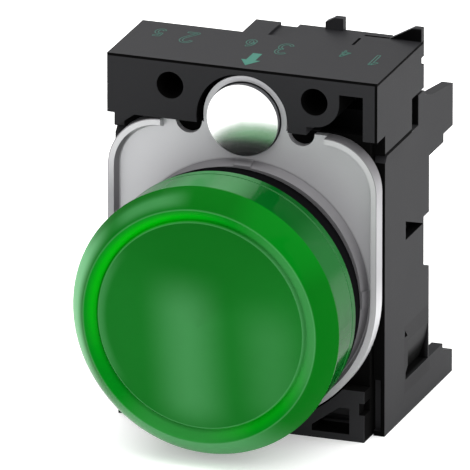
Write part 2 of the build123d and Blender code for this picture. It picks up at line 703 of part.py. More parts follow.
def carrier_side():
    """The side view of the carrier's side wall with its two arms."""
    front = CARRIER_FRONT_DEPTH
    arm_top = HOLDER_BOTTOM_Z + LOWER_ARM_HEIGHT
    lower_step = ARM_END_DEPTH - LOWER_ARM_STEP
    upper_step = ARM_END_DEPTH - UPPER_ARM_STEP
    notch_depth = WALL_END_DEPTH - REAR_NOTCH_DEPTH
    upper_step_z = UPPER_ARM_LOW_Z + UPPER_ARM_STEP_RISE
    upright_end = UPRIGHT_DEPTH + UPRIGHT_TOP_LENGTH
    return make_face(
        Polyline(
            (front, HOLDER_BOTTOM_Z),
            (ARM_END_DEPTH, HOLDER_BOTTOM_Z),
            (ARM_END_DEPTH, HOLDER_BOTTOM_Z + LOWER_ARM_END_HEIGHT),
            (lower_step, arm_top - LOWER_ARM_STEP_DROP),
            (lower_step, arm_top),
            (WALL_END_DEPTH, arm_top),
            (WALL_END_DEPTH, REAR_NOTCH_LOW_Z - REAR_NOTCH_RAMP),
            (notch_depth, REAR_NOTCH_LOW_Z),
            (notch_depth, REAR_NOTCH_TOP_Z),
            (WALL_END_DEPTH, REAR_NOTCH_TOP_Z),
            (WALL_END_DEPTH, UPPER_ARM_LOW_Z),
            (upper_step, UPPER_ARM_LOW_Z),
            (upper_step, upper_step_z),
            (ARM_END_DEPTH, upper_step_z),
            (ARM_END_DEPTH, UPPER_ARM_END_Z),
            (UPPER_ARM_ROOT_DEPTH, UPPER_ARM_ROOT_Z),
            (upright_end + UPRIGHT_BEVEL_LENGTH, UPRIGHT_TOP_Z - UPRIGHT_BEVEL),
            (upright_end, UPRIGHT_TOP_Z),
            (UPRIGHT_DEPTH, UPRIGHT_TOP_Z),
            (UPRIGHT_DEPTH, HEAD_SPLIT_Z),
            (front + CARRIER_BEVEL, HEAD_SPLIT_Z),
            (front, HEAD_SPLIT_Z - CARRIER_BEVEL),
            close=True,
        )
    )


def latch_pocket():
    """The pocket in the side wall's face for a module's latch: its floor curves inwards as it goes down."""
    floor_x = HALF_W - CARRIER_WALL + POCKET_FLOOR
    low = HOLDER_BOTTOM_Z + LOWER_ARM_HEIGHT
    high = low + POCKET_HEIGHT
    outside = HALF_W + CUT
    profile = make_face(
        [
            ThreePointArc((HALF_W, high), (HALF_W - POCKET_BULGE, (low + high) / 2), (floor_x, low)),
            Polyline((floor_x, low), (outside, low), (outside, high), (HALF_W, high)),
        ]
    )
    corner = make_face(
        Polyline(
            (POCKET_START - POCKET_CORNER, low),
            (POCKET_START, low),
            (POCKET_START, low + 2 * POCKET_CORNER),
            (POCKET_START - POCKET_CORNER, low + POCKET_CORNER),
            close=True,
        )
    )
    pocket = front_slab(profile, POCKET_START, WALL_END_DEPTH - POCKET_LIP)
    return pocket + side_slab(corner, floor_x, outside)


def carrier_wall():
    """The right side wall with the guide rail inside it and the openings and the pocket in its face."""
    inner_x = HALF_W - CARRIER_WALL
    guide = box_outline(GUIDE_START, GUIDE_END, GUIDE_LOW_Z, GUIDE_TOP_Z)
    wall = side_slab(carrier_side(), inner_x, HALF_W)
    wall += side_slab(guide, inner_x - GUIDE_WALL, inner_x)
    window_end = WINDOW_START + WINDOW_LENGTH
    window = make_face(
        Polyline(
            (WINDOW_START, WINDOW_LOW_Z),
            (WINDOW_START, WINDOW_LOW_Z + WINDOW_HEIGHT),
            (window_end, WINDOW_LOW_Z + WINDOW_END_HEIGHT),
            (window_end, WINDOW_LOW_Z),
            close=True,
        )
    )
    dimple = make_face(
        Polyline(
            (DIMPLE_START, DIMPLE_Z + DIMPLE_HEIGHT),
            (DIMPLE_START + DIMPLE_LENGTH, DIMPLE_Z),
            (DIMPLE_START, DIMPLE_Z),
            close=True,
        )
    )
    wall -= side_slab(window + dimple, inner_x, HALF_W + CUT)
    return wall - latch_pocket()


def module_carrier():
    """The rear moulding: two side walls with arms, the cross web round the neck and the module slots."""
    right = carrier_wall()
    carrier = right + mirror(right, Plane.YZ)
    inner_x = HALF_W - CARRIER_WALL
    low = HOLDER_BOTTOM_Z
    web_start = CARRIER_WEB_DEPTH
    web_end = web_start + CARRIER_WEB_THICKNESS
    carrier += block(-inner_x, inner_x, web_start, web_end, low, CARRIER_WEB_TOP_Z)
    carrier += block(-inner_x, inner_x, web_start, CARRIER_FLOOR_END, low, CARRIER_FLOOR_Z)
    carrier += block(-inner_x, inner_x, web_end, CARRIER_FLOOR_END, CARRIER_RAIL_Z, CARRIER_WEB_TOP_Z)
    partition_end_x = PARTITION_X + PARTITION_WALL
    partition = box_outline(PARTITION_X, partition_end_x, CARRIER_FLOOR_Z, CARRIER_WEB_TOP_Z)
    partition = front_slab(partition, web_end, PARTITION_END)
    partition += mirror(partition, Plane.YZ)
    neck_room = rod(0, 0, HOLE_R + LOCK_WIRE_R, web_end, NECK_LENGTH - PANEL_GAP + 3 * MOULD_GAP)
    carrier += partition - neck_room
    carrier -= front_slab(neck_hole() + block_openings(), 0, web_end)
    # A shallow relief in the front edge of each wall, beside the lower block.
    relief = box_outline(inner_x, inner_x + WALL_RELIEF_WIDTH, WALL_RELIEF_LOW_Z, WALL_RELIEF_HIGH_Z)
    relief = front_slab(relief, 0, web_start)
    carrier -= relief + mirror(relief, Plane.YZ)
    # Windows in the rail and the floor of each slot for a module's two hooks.
    half = HOOK_WINDOW_HALF_W
    start = HOOK_WINDOW_START
    end = HOOK_WINDOW_END
    for slot in (-1, 0, 1):
        x = slot * SLOT_PITCH
        carrier -= block(x - half, x + half, start, end, CARRIER_RAIL_Z - CUT, CARRIER_WEB_TOP_Z + CUT)
        carrier -= block(x - half, x + half, start, end, HOLDER_BOTTOM_Z - CUT, CARRIER_FLOOR_Z + CUT)
    return carrier


def clamp_foot():
    """The bright round foot that presses on the panel, on a hub that holds the screw's tip."""
    top = -FOOT_DOME / 2
    disc_y = PANEL_GAP + FOOT_DOME / 2
    disc = turned(
        *dome_edge(FOOT_R, disc_y, FOOT_DOME),
        Polyline(
            (FOOT_R, disc_y),
            (FOOT_R, PANEL_GAP + FOOT_THICKNESS),
            (0, PANEL_GAP + FOOT_THICKNESS),
            (0, PANEL_GAP + top),
        ),
    )
    foot = Pos(0, 0, SCREW_Z) * disc
    foot += rod(0, SCREW_Z, HUB_R, FOOT_THICKNESS, FOOT_THICKNESS + HUB_LENGTH)
    socket_end = FOOT_THICKNESS + HUB_LENGTH + CUT
    return foot - rod(0, SCREW_Z, CLAMP_THREAD_R + RUNNING_GAP, CLAMP_TIP_DEPTH - SEAT_GAP, socket_end)


def slotted_screw(x, z, thread_r, tip, head_start, head_r, head_length):
    """A screw along the depth with a flat slotted head at the rear."""
    head_end = head_start + head_length
    screw = rod(x, z, thread_r, tip, head_start) + rod(x, z, head_r, head_start, head_end)
    slot = Pos(x, z) * Rectangle(2 * (head_r + CUT), DRIVER_SLOT_WIDTH)
    return screw - front_slab(slot, head_end - DRIVER_SLOT_DEPTH, head_end + CUT)


def clamp_screw():
    """The screw that drives the foot against the panel, turned from the rear."""
    return slotted_screw(
        0, SCREW_Z, CLAMP_THREAD_R, CLAMP_TIP_DEPTH, CLAMP_HEAD_DEPTH, CLAMP_HEAD_R, CLAMP_HEAD_LENGTH
    )


def clamp_nut():
    """The square nut held in the head's slot."""
    half = NUT_SIDE / 2
    nut = block(-half, half, NUT_DEPTH, NUT_DEPTH + NUT_THICKNESS, SCREW_Z - half, SCREW_Z + half)
    return nut - rod(0, SCREW_Z, CLAMP_THREAD_R + RUNNING_GAP, 0, HEAD_DEPTH)


def module_outline(inset):
    """The lamp module's side view, with its rear corners cut off."""
    start = MODULE_FRONT_DEPTH + inset
    end = MODULE_END_DEPTH - inset
    low = MODULE_BOTTOM_Z + inset
    high = MODULE_TOP_Z - inset
    outline = box_outline(start, end, low, high)
    return chamfer(outline.vertices().group_by(Axis.X)[-1], MODULE_CHAMFER)


def terminal_z(side):
    """The height of the upper terminal for side 1 and of the lower one for side -1."""
    return MODULE_MID_Z + side * TERMINAL_OFFSET


def module_hook(side):
    """A tongue along the rail or the floor, with the hook that holds the module in the carrier."""
    edge = MODULE_TOP_Z if side > 0 else MODULE_BOTTOM_Z
    tip = edge + side * HOOK_HEIGHT
    start = HOOK_WINDOW_START + MOULD_GAP
    catch = HOOK_WINDOW_END - MOULD_GAP
    root = MODULE_FRONT_DEPTH + MODULE_WALL
    inner = edge - side * TONGUE_THICKNESS
    profile = make_face(
        Polyline(
            (root, inner),
            (start, inner),
            (start, edge),
            (catch, tip),
            (catch, edge),
            (root, edge),
            close=True,
        )
    )
    return side_slab(profile, -TONGUE_HALF_W, TONGUE_HALF_W)


def module_housing():
    """The lamp module's open shell, with the lamp's nose in front, two hooks and the terminal openings."""
    inner_x = MODULE_HALF_W - MODULE_WALL
    cover_x = MODULE_HALF_W - COVER_THICKNESS
    shell = side_slab(module_outline(0), -MODULE_HALF_W, cover_x)
    shell -= side_slab(module_outline(MODULE_WALL), -inner_x, MODULE_HALF_W + CUT)
    shell += rod(0, 0, NOSE_R, NOSE_DEPTH, MODULE_FRONT_DEPTH)
    shell -= rod(0, 0, NOSE_BORE_R, 0, MODULE_FRONT_DEPTH + MODULE_WALL + CUT)
    for side in (-1, 1):
        shell += module_hook(side)
        z = terminal_z(side)
        outside = MODULE_TOP_Z + CUT if side > 0 else MODULE_BOTTOM_Z - CUT
        shell -= rod(0, z, TERMINAL_HEAD_R + MOULD_GAP, STRIP_DEPTH, MODULE_END_DEPTH + CUT)
        wire_depth = STRIP_DEPTH + STRIP_THICKNESS + WIRE_HOLE_R
        entry = Pos(0, wire_depth) * Circle(WIRE_HOLE_R)
        shell -= top_slab(entry, min(z, outside), max(z, outside))
        # A wall keeps the terminal's chamber apart from the electronics.
        wall_z = z - side * (CLAMP_HALF_H + MOULD_GAP + MODULE_WALL / 2)
        half = MODULE_WALL / 2
        chamber_start = STRIP_DEPTH + STRIP_THICKNESS + MOULD_GAP
        shell += block(
            -inner_x, cover_x, chamber_start, MODULE_END_DEPTH - MODULE_WALL, wall_z - half, wall_z + half
        )
    return shell


def module_cover():
    """The flat cover that closes the lamp module's right side."""
    return side_slab(module_outline(0), MODULE_HALF_W - COVER_THICKNESS, MODULE_HALF_W)


def circuit_board():
    """The board that stands in the lamp module and feeds the lamp."""
    low = MODULE_MID_Z - BOARD_HALF_H
    high = MODULE_MID_Z + BOARD_HALF_H
    outline = box_outline(BOARD_DEPTH, BOARD_DEPTH + BOARD_LENGTH, low, high)
    return side_slab(outline, BOARD_X, BOARD_X + BOARD_THICKNESS)


def led_lamp():
    """The lamp: a domed body with a flange, and two leads that end at the board."""
    front = PANEL_GAP + LED_TIP_DEPTH
    back = PANEL_GAP + LED_BACK_DEPTH
    flange_front = back - CUT
    lamp = turned(
        *dome_edge(LED_R, front + LED_R, LED_R * 0.98),
        Polyline(
            (LED_R, front + LED_R),
            (LED_R, flange_front),
            (LED_FLANGE_R, flange_front),
            (LED_FLANGE_R, back),
            (0, back),
            (0, front + LED_R * 0.02),
        ),
    )
    lead_x = BOARD_X + BOARD_THICKNESS + SEAT_GAP
    for side in (-1, 1):
        low = side * LEAD_PITCH / 2 - LEAD_SIDE / 2
        lead = box_outline(lead_x, lead_x + LEAD_SIDE, low, low + LEAD_SIDE)
        lamp += front_slab(lead, LED_BACK_DEPTH, LED_BACK_DEPTH + LEAD_LENGTH)
    return lamp


def board_part(start, above_middle, length, height, rise):
    """A component that stands on the board's right face."""
    base_x = BOARD_X + BOARD_THICKNESS + SEAT_GAP
    outline = RectangleRounded(length, height, min(length, height) / 5)
    return side_slab(Pos(BOARD_DEPTH + start, MODULE_MID_Z + above_middle) * outline, base_x, base_x + rise)


def dropping_resistor():
    """The resistor that limits the lamp's current: a barrel that lies along the board."""
    middle_x = BOARD_X + BOARD_THICKNESS + SEAT_GAP + RESISTOR_R
    middle_z = MODULE_MID_Z - RESISTOR_BELOW_MIDDLE
    start = BOARD_DEPTH + RESISTOR_START
    barrel = rod(middle_x, middle_z, RESISTOR_R, start, start + RESISTOR_LENGTH)
    return fillet(barrel.edges().filter_by(GeomType.CIRCLE), RESISTOR_R / 3)


def rectifier():
    """The small bridge rectifier on the board."""
    return board_part(
        RECTIFIER_START, RECTIFIER_ABOVE_MIDDLE, RECTIFIER_LENGTH, RECTIFIER_HEIGHT, RECTIFIER_RISE
    )


def surge_capacitor():
    """The capacitor that takes up voltage peaks."""
    return board_part(
        CAPACITOR_START, CAPACITOR_ABOVE_MIDDLE, CAPACITOR_LENGTH, CAPACITOR_HEIGHT, CAPACITOR_RISE
    )


def contact_strip(side):
    """A brass strip from the board to one terminal, tapped for its screw."""
    z = terminal_z(side)
    outer = z + side * CLAMP_HALF_H
    bend = MODULE_MID_Z + side * STRIP_LEG_INSET
    inner = bend - side * STRIP_THICKNESS
    leg_start = STRIP_DEPTH - STRIP_LEG_LENGTH
    end = STRIP_DEPTH + STRIP_THICKNESS
    leg_x = BOARD_X + BOARD_THICKNESS + SEAT_GAP
    strip = block(leg_x, STRIP_HALF_W, STRIP_DEPTH, end, min(inner, outer), max(inner, outer))
    strip += block(leg_x, STRIP_HALF_W / 2, leg_start, end, min(inner, bend), max(inner, bend))
    strip += block(-STRIP_HALF_W, STRIP_HALF_W, STRIP_DEPTH, end, z - CLAMP_HALF_H, z + CLAMP_HALF_H)
    return strip - rod(0, z, TERMINAL_THREAD_R + RUNNING_GAP, leg_start, end + CUT)


def wire_clamp(side):
    """The square washer that the terminal's screw pulls down on the wire."""
    z = terminal_z(side)
    start = STRIP_DEPTH + STRIP_THICKNESS + SEAT_GAP
    square = Rectangle(2 * CLAMP_HALF_W, 2 * CLAMP_HALF_H)
    outline = square - Circle(TERMINAL_THREAD_R + MOULD_GAP / 2)
    return front_slab(Pos(0, z) * outline, start, start + CLAMP_THICKNESS)


def terminal_screw(side):
    """The screw of one terminal, turned from the rear through the housing's round opening."""
    head_start = STRIP_DEPTH + STRIP_THICKNESS + CLAMP_THICKNESS + 2 * SEAT_GAP
    tip = head_start - TERMINAL_SHANK
    return slotted_screw(
        0, terminal_z(side), TERMINAL_THREAD_R, tip, head_start, TERMINAL_HEAD_R, TERMINAL_HEAD_LENGTH
    )


def build_nodes():
    """Every piece of the pilot light by its node's name."""
    nodes = {
        "lens_cap": lens_cap(),
        "diffuser": diffuser(),
        "lens_seal": lens_seal(),
        "front_body": front_body(),
        "front_seal": front_seal(),
        "lock_wire": lock_wire(),
        "retaining_plate": retaining_plate(),
        "holder_head": holder_head(),
        "module_carrier": module_carrier(),
        "clamp_foot": clamp_foot(),
        "clamp_screw": clamp_screw(),
        "clamp_nut": clamp_nut(),
        "module_housing": module_housing(),
        "module_cover": module_cover(),
        "circuit_board": circuit_board(),
        "led_lamp": led_lamp(),
        "dropping_resistor": dropping_resistor(),
        "rectifier": rectifier(),
        "surge_capacitor": surge_capacitor(),
    }
    for name, side in (("upper", 1), ("lower", -1)):
        nodes[f"{name}_contact_strip"] = contact_strip(side)
        nodes[f"{name}_wire_clamp"] = wire_clamp(side)
        nodes[f"{name}_terminal_screw"] = terminal_screw(side)
    return nodes


def main():
    os.makedirs("parts", exist_ok=True)
    for name, shape in build_nodes().items():
        export_step(shape, f"parts/{name}.step")


main()
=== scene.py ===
"""Visual model of a panel pilot light: finishes, printed marks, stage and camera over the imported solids."""

import json
from math import cos, radians, sin

import bpy
import numpy as np
from mathutils import Matrix, Vector


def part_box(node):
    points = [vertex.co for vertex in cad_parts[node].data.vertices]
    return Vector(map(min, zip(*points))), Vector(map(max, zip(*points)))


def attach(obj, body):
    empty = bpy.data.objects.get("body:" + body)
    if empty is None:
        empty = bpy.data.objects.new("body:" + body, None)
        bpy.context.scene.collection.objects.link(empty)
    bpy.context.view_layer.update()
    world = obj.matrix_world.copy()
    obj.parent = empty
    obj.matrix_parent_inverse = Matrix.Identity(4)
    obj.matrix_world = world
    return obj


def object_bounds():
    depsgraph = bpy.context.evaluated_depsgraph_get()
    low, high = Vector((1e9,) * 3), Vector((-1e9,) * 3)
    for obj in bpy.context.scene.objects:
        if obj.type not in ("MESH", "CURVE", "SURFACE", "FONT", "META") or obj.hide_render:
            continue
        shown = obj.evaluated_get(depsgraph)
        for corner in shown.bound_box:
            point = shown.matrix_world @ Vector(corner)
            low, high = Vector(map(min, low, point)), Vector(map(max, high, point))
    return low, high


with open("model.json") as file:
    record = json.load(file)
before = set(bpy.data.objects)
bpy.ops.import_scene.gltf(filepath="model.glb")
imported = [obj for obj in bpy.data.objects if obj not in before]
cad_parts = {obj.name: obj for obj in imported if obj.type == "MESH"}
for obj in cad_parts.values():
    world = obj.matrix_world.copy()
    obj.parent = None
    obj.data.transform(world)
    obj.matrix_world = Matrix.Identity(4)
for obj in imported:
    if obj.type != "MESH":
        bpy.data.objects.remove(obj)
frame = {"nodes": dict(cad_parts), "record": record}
CAD_LOW, CAD_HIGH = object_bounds()

bl_info = {
    "name": "Panel Pilot Light",
    "version": (1, 0, 0),
    "blender": (4, 5, 0),
    "location": "View3D > Sidebar > Pilot Light",
    "description": "Finishes, printed slot numbers and a plain stage for a panel pilot light",
    "category": "Object",
}

MM = 0.001
HOLDER_FRONT_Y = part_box("retaining_plate")[0].y

# The holder's front plane, right side and top, in millimetres
HOLDER_FRONT = HOLDER_FRONT_Y / MM
HOLDER_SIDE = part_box("holder_head")[1].x / MM
HOLDER_TOP = 24.2

# The lens in millimetres: the radii where a ring gives way to the next, and the depths where the skirt starts
DOME_END = (11.25, 11.4)
BAND_END = (12.8, 12.95)
SKIRT_START = (-9.3, -9.0)
# The painted highlight line at each ring's edge: its radius and strength
RING_HIGHLIGHTS = ((11.36, 0.5), (12.86, 0.35))

# The retaining plate in millimetres: its collar's radius, the middle of its height, the centre of its upper
# corners from that middle, and the radius at which a corner's outer wall starts and ends
COLLAR_RADIUS = 13.9
PLATE_MIDDLE_Z = 1.255
CORNER_CENTRE = (9.24, 10.495)
CORNER_WALL = (5.56, 5.64)

# Scratches that are alike in all directions, and scratches along the lens axis
EVEN_STRETCH = (5.0, 5.0, 5.0)
ALONG_STRETCH = (7.0, 0.7, 7.0)

RESISTOR_LENGTH = 6.5
# A printed number's width as a share of its height, and the points along its line
NUMBER_WIDTH = 0.52
NUMBER_POINTS = 40
SENSOR_WIDTH = 36.0
WHITE = (1.0, 1.0, 1.0, 1.0)


def colour_property(name, description, default):
    """A colour setting with its default given as linear red, green and blue."""
    return bpy.props.FloatVectorProperty(
        name=name, description=description, default=default, size=3, min=0.0, max=1.0, subtype="COLOR"
    )


def length_property(name, description, default):
    """A length setting in metres."""
    return bpy.props.FloatProperty(
        name=name, description=description, default=default, min=0.0, subtype="DISTANCE", unit="LENGTH"
    )


def angle_property(name, description, degrees):
    """An angle setting with its default given in degrees."""
    return bpy.props.FloatProperty(
        name=name, description=description, default=radians(degrees), subtype="ANGLE", unit="ROTATION"
    )


def factor_property(name, description, default, high=1.0):
    """A plain number from nought upwards."""
    return bpy.props.FloatProperty(name=name, description=description, default=default, min=0.0, max=high)


class PilotLensSettings(bpy.types.PropertyGroup):
    """Finish of the green cap, with its painted highlights, reflections and shade, and of the milky disc
    behind it.
    """

    # Deep is painted shade on the cap; Glow, Pale and Sheen are painted highlights and reflections, not
    # colours of the plastic.
    shade_green_colour: colour_property("Deep", "Colour where the plastic looks thickest", (0.0005, 0.085, 0.003))
    # The dome, band, flank and skirt greens are one plastic, each partly painted lighter or darker for how
    # light falls on its slope.
    dome_colour: colour_property("Dome", "Colour of the shallow dome", (0.005, 0.118, 0.011))
    band_colour: colour_property("Band", "Colour of the conical band round the dome", (0.0008, 0.165, 0.007))
    flank_colour: colour_property("Flank", "Colour of the sloping flank", (0.0005, 0.106, 0.004))
    skirt_colour: colour_property("Skirt", "Colour of the skirt", (0.001, 0.07, 0.007))
    highlight_colour: colour_property("Glow", "Colour where the edge gathers light", (0.0, 0.32, 0.002))
    reflection_colour: colour_property("Pale", "Colour where the milky disc shows through", (0.07, 0.26, 0.095))
    painted_sheen_colour: colour_property("Sheen", "Colour of the flank's palest side", (0.15, 0.41, 0.19))
    roughness: factor_property("Roughness", "Roughness of the polished plastic", 0.12)
    diffuser_colour: colour_property("Diffuser", "Colour of the milky disc", (0.82, 0.85, 0.8))


class PilotMouldingSettings(bpy.types.PropertyGroup):
    """Finish of the black mouldings and the rubber."""

    holder_colour: colour_property("Holder", "Colour of the holder's two mouldings", (0.0195, 0.0195, 0.021))
    front_colour: colour_property("Front body", "Colour of the lens's sleeve", (0.004, 0.004, 0.0045))
    module_colour: colour_property("Lamp module", "Colour of the lamp module's shell", (0.018, 0.018, 0.02))
    rubber_colour: colour_property("Rubber", "Colour of the two seals", (0.003, 0.003, 0.0033))
    # Recesses is painted shade in the holder's recesses and gaps and along its edge lines.
    painted_shade_colour: colour_property("Recesses", "Colour in the recesses and edge lines", (0.001, 0.001, 0.001))
    grain_size: length_property("Grain size", "Distance between the grains of the mould's texture", 0.00022)
    grain_depth: factor_property("Grain depth", "Strength of the mould's texture", 0.12)
    # The edge line is a line of painted shade along the head's edges.
    edge_width: length_property("Edge line", "Width of the dark line along the head's edges", 0.0003)


class PilotMetalSettings(bpy.types.PropertyGroup):
    """Finish of the metal pieces."""

    plate_colour: colour_property("Retaining plate", "Colour of the cast plate's floor", (0.5, 0.5, 0.515))
    # The rim's colour is its shaded side; the collar's colour is painted shade on the collar, the rim's left
    # slope and the corners' walls.
    rim_colour: colour_property("Plate's rim", "Colour of the cast plate's rim", (0.3, 0.3, 0.31))
    collar_shade_colour: colour_property("Plate's collar", "Colour of the collar and sides", (0.22, 0.215, 0.225))
    # The plate's lights are painted highlights on the rim's lit side and round the collar.
    plate_highlight_colour: colour_property(
        "Plate's lights", "Colour of the rim's lighter side and the line round the collar", (0.52, 0.52, 0.53)
    )
    chrome_colour: colour_property("Clamping foot", "Colour of the bright plating", (0.93, 0.93, 0.93))
    # The foot's edge colour is a painted reflection of dark surroundings on the same plating as its face.
    hub_shade_colour: colour_property("Foot's edge", "Colour of the foot's edge and hub", (0.22, 0.22, 0.23))
    zinc_colour: colour_property("Zinc plating", "Colour of the plated steel", (0.62, 0.62, 0.6))
    brass_colour: colour_property("Brass", "Colour of the contact strips", (0.72, 0.5, 0.2))
    spring_colour: colour_property("Spring steel", "Colour of the locking wire", (0.5, 0.5, 0.52))


class PilotModuleSettings(bpy.types.PropertyGroup):
    """Finish of the board and the components inside the lamp module."""

    board_colour: colour_property("Board", "Colour of the circuit board", (0.02, 0.16, 0.06))
    lamp_colour: colour_property("Lamp", "Colour of the lamp's resin", (0.25, 0.75, 0.35))
    resistor_colour: colour_property("Resistor", "Colour of the resistor's lacquer", (0.16, 0.36, 0.52))
    rectifier_colour: colour_property("Rectifier", "Colour of the rectifier's case", (0.015, 0.015, 0.015))
    capacitor_colour: colour_property("Capacitor", "Colour of the capacitor's coating", (0.5, 0.06, 0.02))


class PilotMarkSettings(bpy.types.PropertyGroup):
    """The slot numbers and the arrow that are printed on the holder's top."""

    arrow_colour: colour_property("Arrow", "Colour of the printed arrow", (0.02, 0.125, 0.09))
    number_colour: colour_property("Numbers", "Colour of the thin printed lines", (0.018, 0.085, 0.064))
    line: length_property("Line", "Width of the line round each number", 0.0001)
    body: length_property("Body", "Distance between the two lines of a stroke", 0.00034)
    thickness: length_property("Thickness", "Height of the print above the surface", 0.000015)
    large: length_property("Large number", "Height of the large numbers", 0.0031)
    small: length_property("Small number", "Height of the small numbers", 0.002)


class PilotStageSettings(bpy.types.PropertyGroup):
    """The floor, the lights and the camera."""

    azimuth: angle_property("Azimuth", "Camera's turn to the right", 19.7)
    elevation: angle_property("Elevation", "Camera's height angle", 19.7)
    focal: bpy.props.FloatProperty(
        name="Focal length",
        description="Focal length of the long lens",
        default=1700.0,
        min=50.0,
        subtype="DISTANCE_CAMERA",
    )
    view_width: length_property("View width", "Width of the picture at the object", 0.04927)
    aim_left: length_property("Aim to the left", "Picture centre to the left of the lens axis", 0.00072)
    aim_up: length_property("Aim upwards", "Picture centre above the lens axis", 0.00536)
    floor_colour: colour_property("Floor", "Colour of the floor", (0.9, 0.9, 0.9))
    floor_light: factor_property("Floor light", "Strength of the floor's own faint light", 0.3, 10.0)
    sky: factor_property("Sky", "Strength of the even light from all round", 0.3, 10.0)
    key: factor_property("Key light", "Power of the light at the right", 1.35, 100.0)
    fill: factor_property("Fill light", "Power of the light in front", 1.2, 100.0)
    top: factor_property("Top light", "Power of the light above", 4.4, 100.0)
    back: factor_property("Back light", "Power of the light behind at the left", 1.0, 100.0)


SETTINGS = {
    "pilot_lens": PilotLensSettings,
    "pilot_moulding": PilotMouldingSettings,
    "pilot_metal": PilotMetalSettings,
    "pilot_module": PilotModuleSettings,
    "pilot_marks": PilotMarkSettings,
    "pilot_stage": PilotStageSettings,
}


def add_node(tree, kind, inputs=None, **settings):
    """Adds a node; an input given as a socket is linked and one given as a value is set."""
    node = tree.nodes.new(kind)
    for name, value in settings.items():
        setattr(node, name, value)
    for key, value in (inputs or {}).items():
        socket = node.inputs[key]
        if isinstance(value, bpy.types.NodeSocket):
            tree.links.new(value, socket)
        else:
            socket.default_value = value
    return node


def maths(tree, operation, first, second=0.0, clamp=False):
    """The result of one Math node."""
    node = add_node(tree, "ShaderNodeMath", {0: first, 1: second}, operation=operation, use_clamp=clamp)
    return node.outputs[0]


def product(tree, first, *factors):
    """The given values multiplied together, from the left."""
    for factor in factors:
        first = maths(tree, "MULTIPLY", first, factor)
    return first


def distance(tree, first, second):
    """The square root of the sum of two squares."""
    squares = maths(tree, "ADD", product(tree, first, first), product(tree, second, second))
    return maths(tree, "SQRT", squares)


def apart(tree, first, second):
    """How far two values lie apart, without a sign."""
    return maths(tree, "ABSOLUTE", maths(tree, "SUBTRACT", first, second))


def fade(tree, value, start, end):
    """A smooth step from nought at start to one at end."""
    inputs = {"Value": value, "From Min": start, "From Max": end}
    return add_node(tree, "ShaderNodeMapRange", inputs, interpolation_type="SMOOTHSTEP").outputs[0]


def vector_maths(tree, operation, first, second):
    """The result of one Vector Math node."""
    return add_node(tree, "ShaderNodeVectorMath", {0: first, 1: second}, operation=operation).outputs[0]


def scaled(tree, vector, factor):
    """A place or colour, given or computed, times a factor."""
    return add_node(tree, "ShaderNodeVectorMath", {0: vector, "Scale": factor}, operation="SCALE").outputs[0]


def components(tree, vector):
    """The x, y and z parts of a vector."""
    return add_node(tree, "ShaderNodeSeparateXYZ", {0: vector}).outputs


def blend_colours(tree, factor, first, second):
    """A mix of two colours, each a socket or given as linear red, green and blue."""
    pair = [value if isinstance(value, bpy.types.NodeSocket) else (*value, 1.0) for value in (first, second)]
    return add_node(tree, "ShaderNodeMix", {0: factor, 6: pair[0], 7: pair[1]}, data_type="RGBA").outputs[2]


def stepped_ramp(tree, value, stops):
    """A colour ramp in steps, each from its place to the next, given as (place, colour)."""
    node = add_node(tree, "ShaderNodeValToRGB", {"Fac": value})
    node.color_ramp.interpolation = "CONSTANT"
    elements = node.color_ramp.elements
    while len(elements) < len(stops):
        elements.new(0.5)
    for element, (place, colour) in zip(elements, stops):
        element.position = place
        element.color = (*colour, 1.0)
    return node.outputs[0]


def object_place(tree):
    """The point on the surface in the object's own coordinates, in millimetres."""
    return scaled(tree, add_node(tree, "ShaderNodeTexCoord").outputs["Object"], 1 / MM)


def new_group(name, inputs, outputs):
    """A shader node group with its sockets, and its input and output nodes."""
    tree = bpy.data.node_groups.new(name, "ShaderNodeTree")
    for label, kind, default in inputs:
        socket = tree.interface.new_socket(name=label, in_out="INPUT", socket_type=kind)
        if default is not None:
            socket.default_value = default
    for label in outputs:
        tree.interface.new_socket(name=label, in_out="OUTPUT", socket_type="NodeSocketFloat")
    return tree, tree.nodes.new("NodeGroupInput"), tree.nodes.new("NodeGroupOutput")


def grain_group():
    """Fine mould texture: two scales of noise give a height, a roughness and a slight change of shade."""
    inputs = [
        ("Place", "NodeSocketVector", None),
        ("Grains per mm", "NodeSocketFloat", 4.5),
        ("Roughness", "NodeSocketFloat", 0.5),
        ("Spread", "NodeSocketFloat", 0.06),
        ("Shade", "NodeSocketFloat", 0.06),
    ]
    tree, start, end = new_group("mould_grain", inputs, ("Height", "Roughness", "Brightness"))
    place, grains = start.outputs["Place"], start.outputs["Grains per mm"]
    fine = {"Vector": place, "Scale": grains, "Detail": 2.0, "Roughness": 0.6}
    wide = {"Vector": place, "Scale": 0.12, "Detail": 3.0}
    fine_noise = add_node(tree, "ShaderNodeTexNoise", fine).outputs[0]
    wide_noise = add_node(tree, "ShaderNodeTexNoise", wide).outputs[0]
    fine_offset = maths(tree, "SUBTRACT", fine_noise, 0.5)
    wide_offset = maths(tree, "SUBTRACT", wide_noise, 0.5)
    both = maths(tree, "ADD", fine_offset, wide_offset)
    rough = product(tree, both, start.outputs["Spread"])
    shade = product(tree, both, start.outputs["Shade"])
    tree.links.new(fine_noise, end.inputs["Height"])
    tree.links.new(maths(tree, "ADD", rough, start.outputs["Roughness"], True), end.inputs["Roughness"])
    tree.links.new(maths(tree, "ADD", shade, 1.0), end.inputs["Brightness"])
    return tree


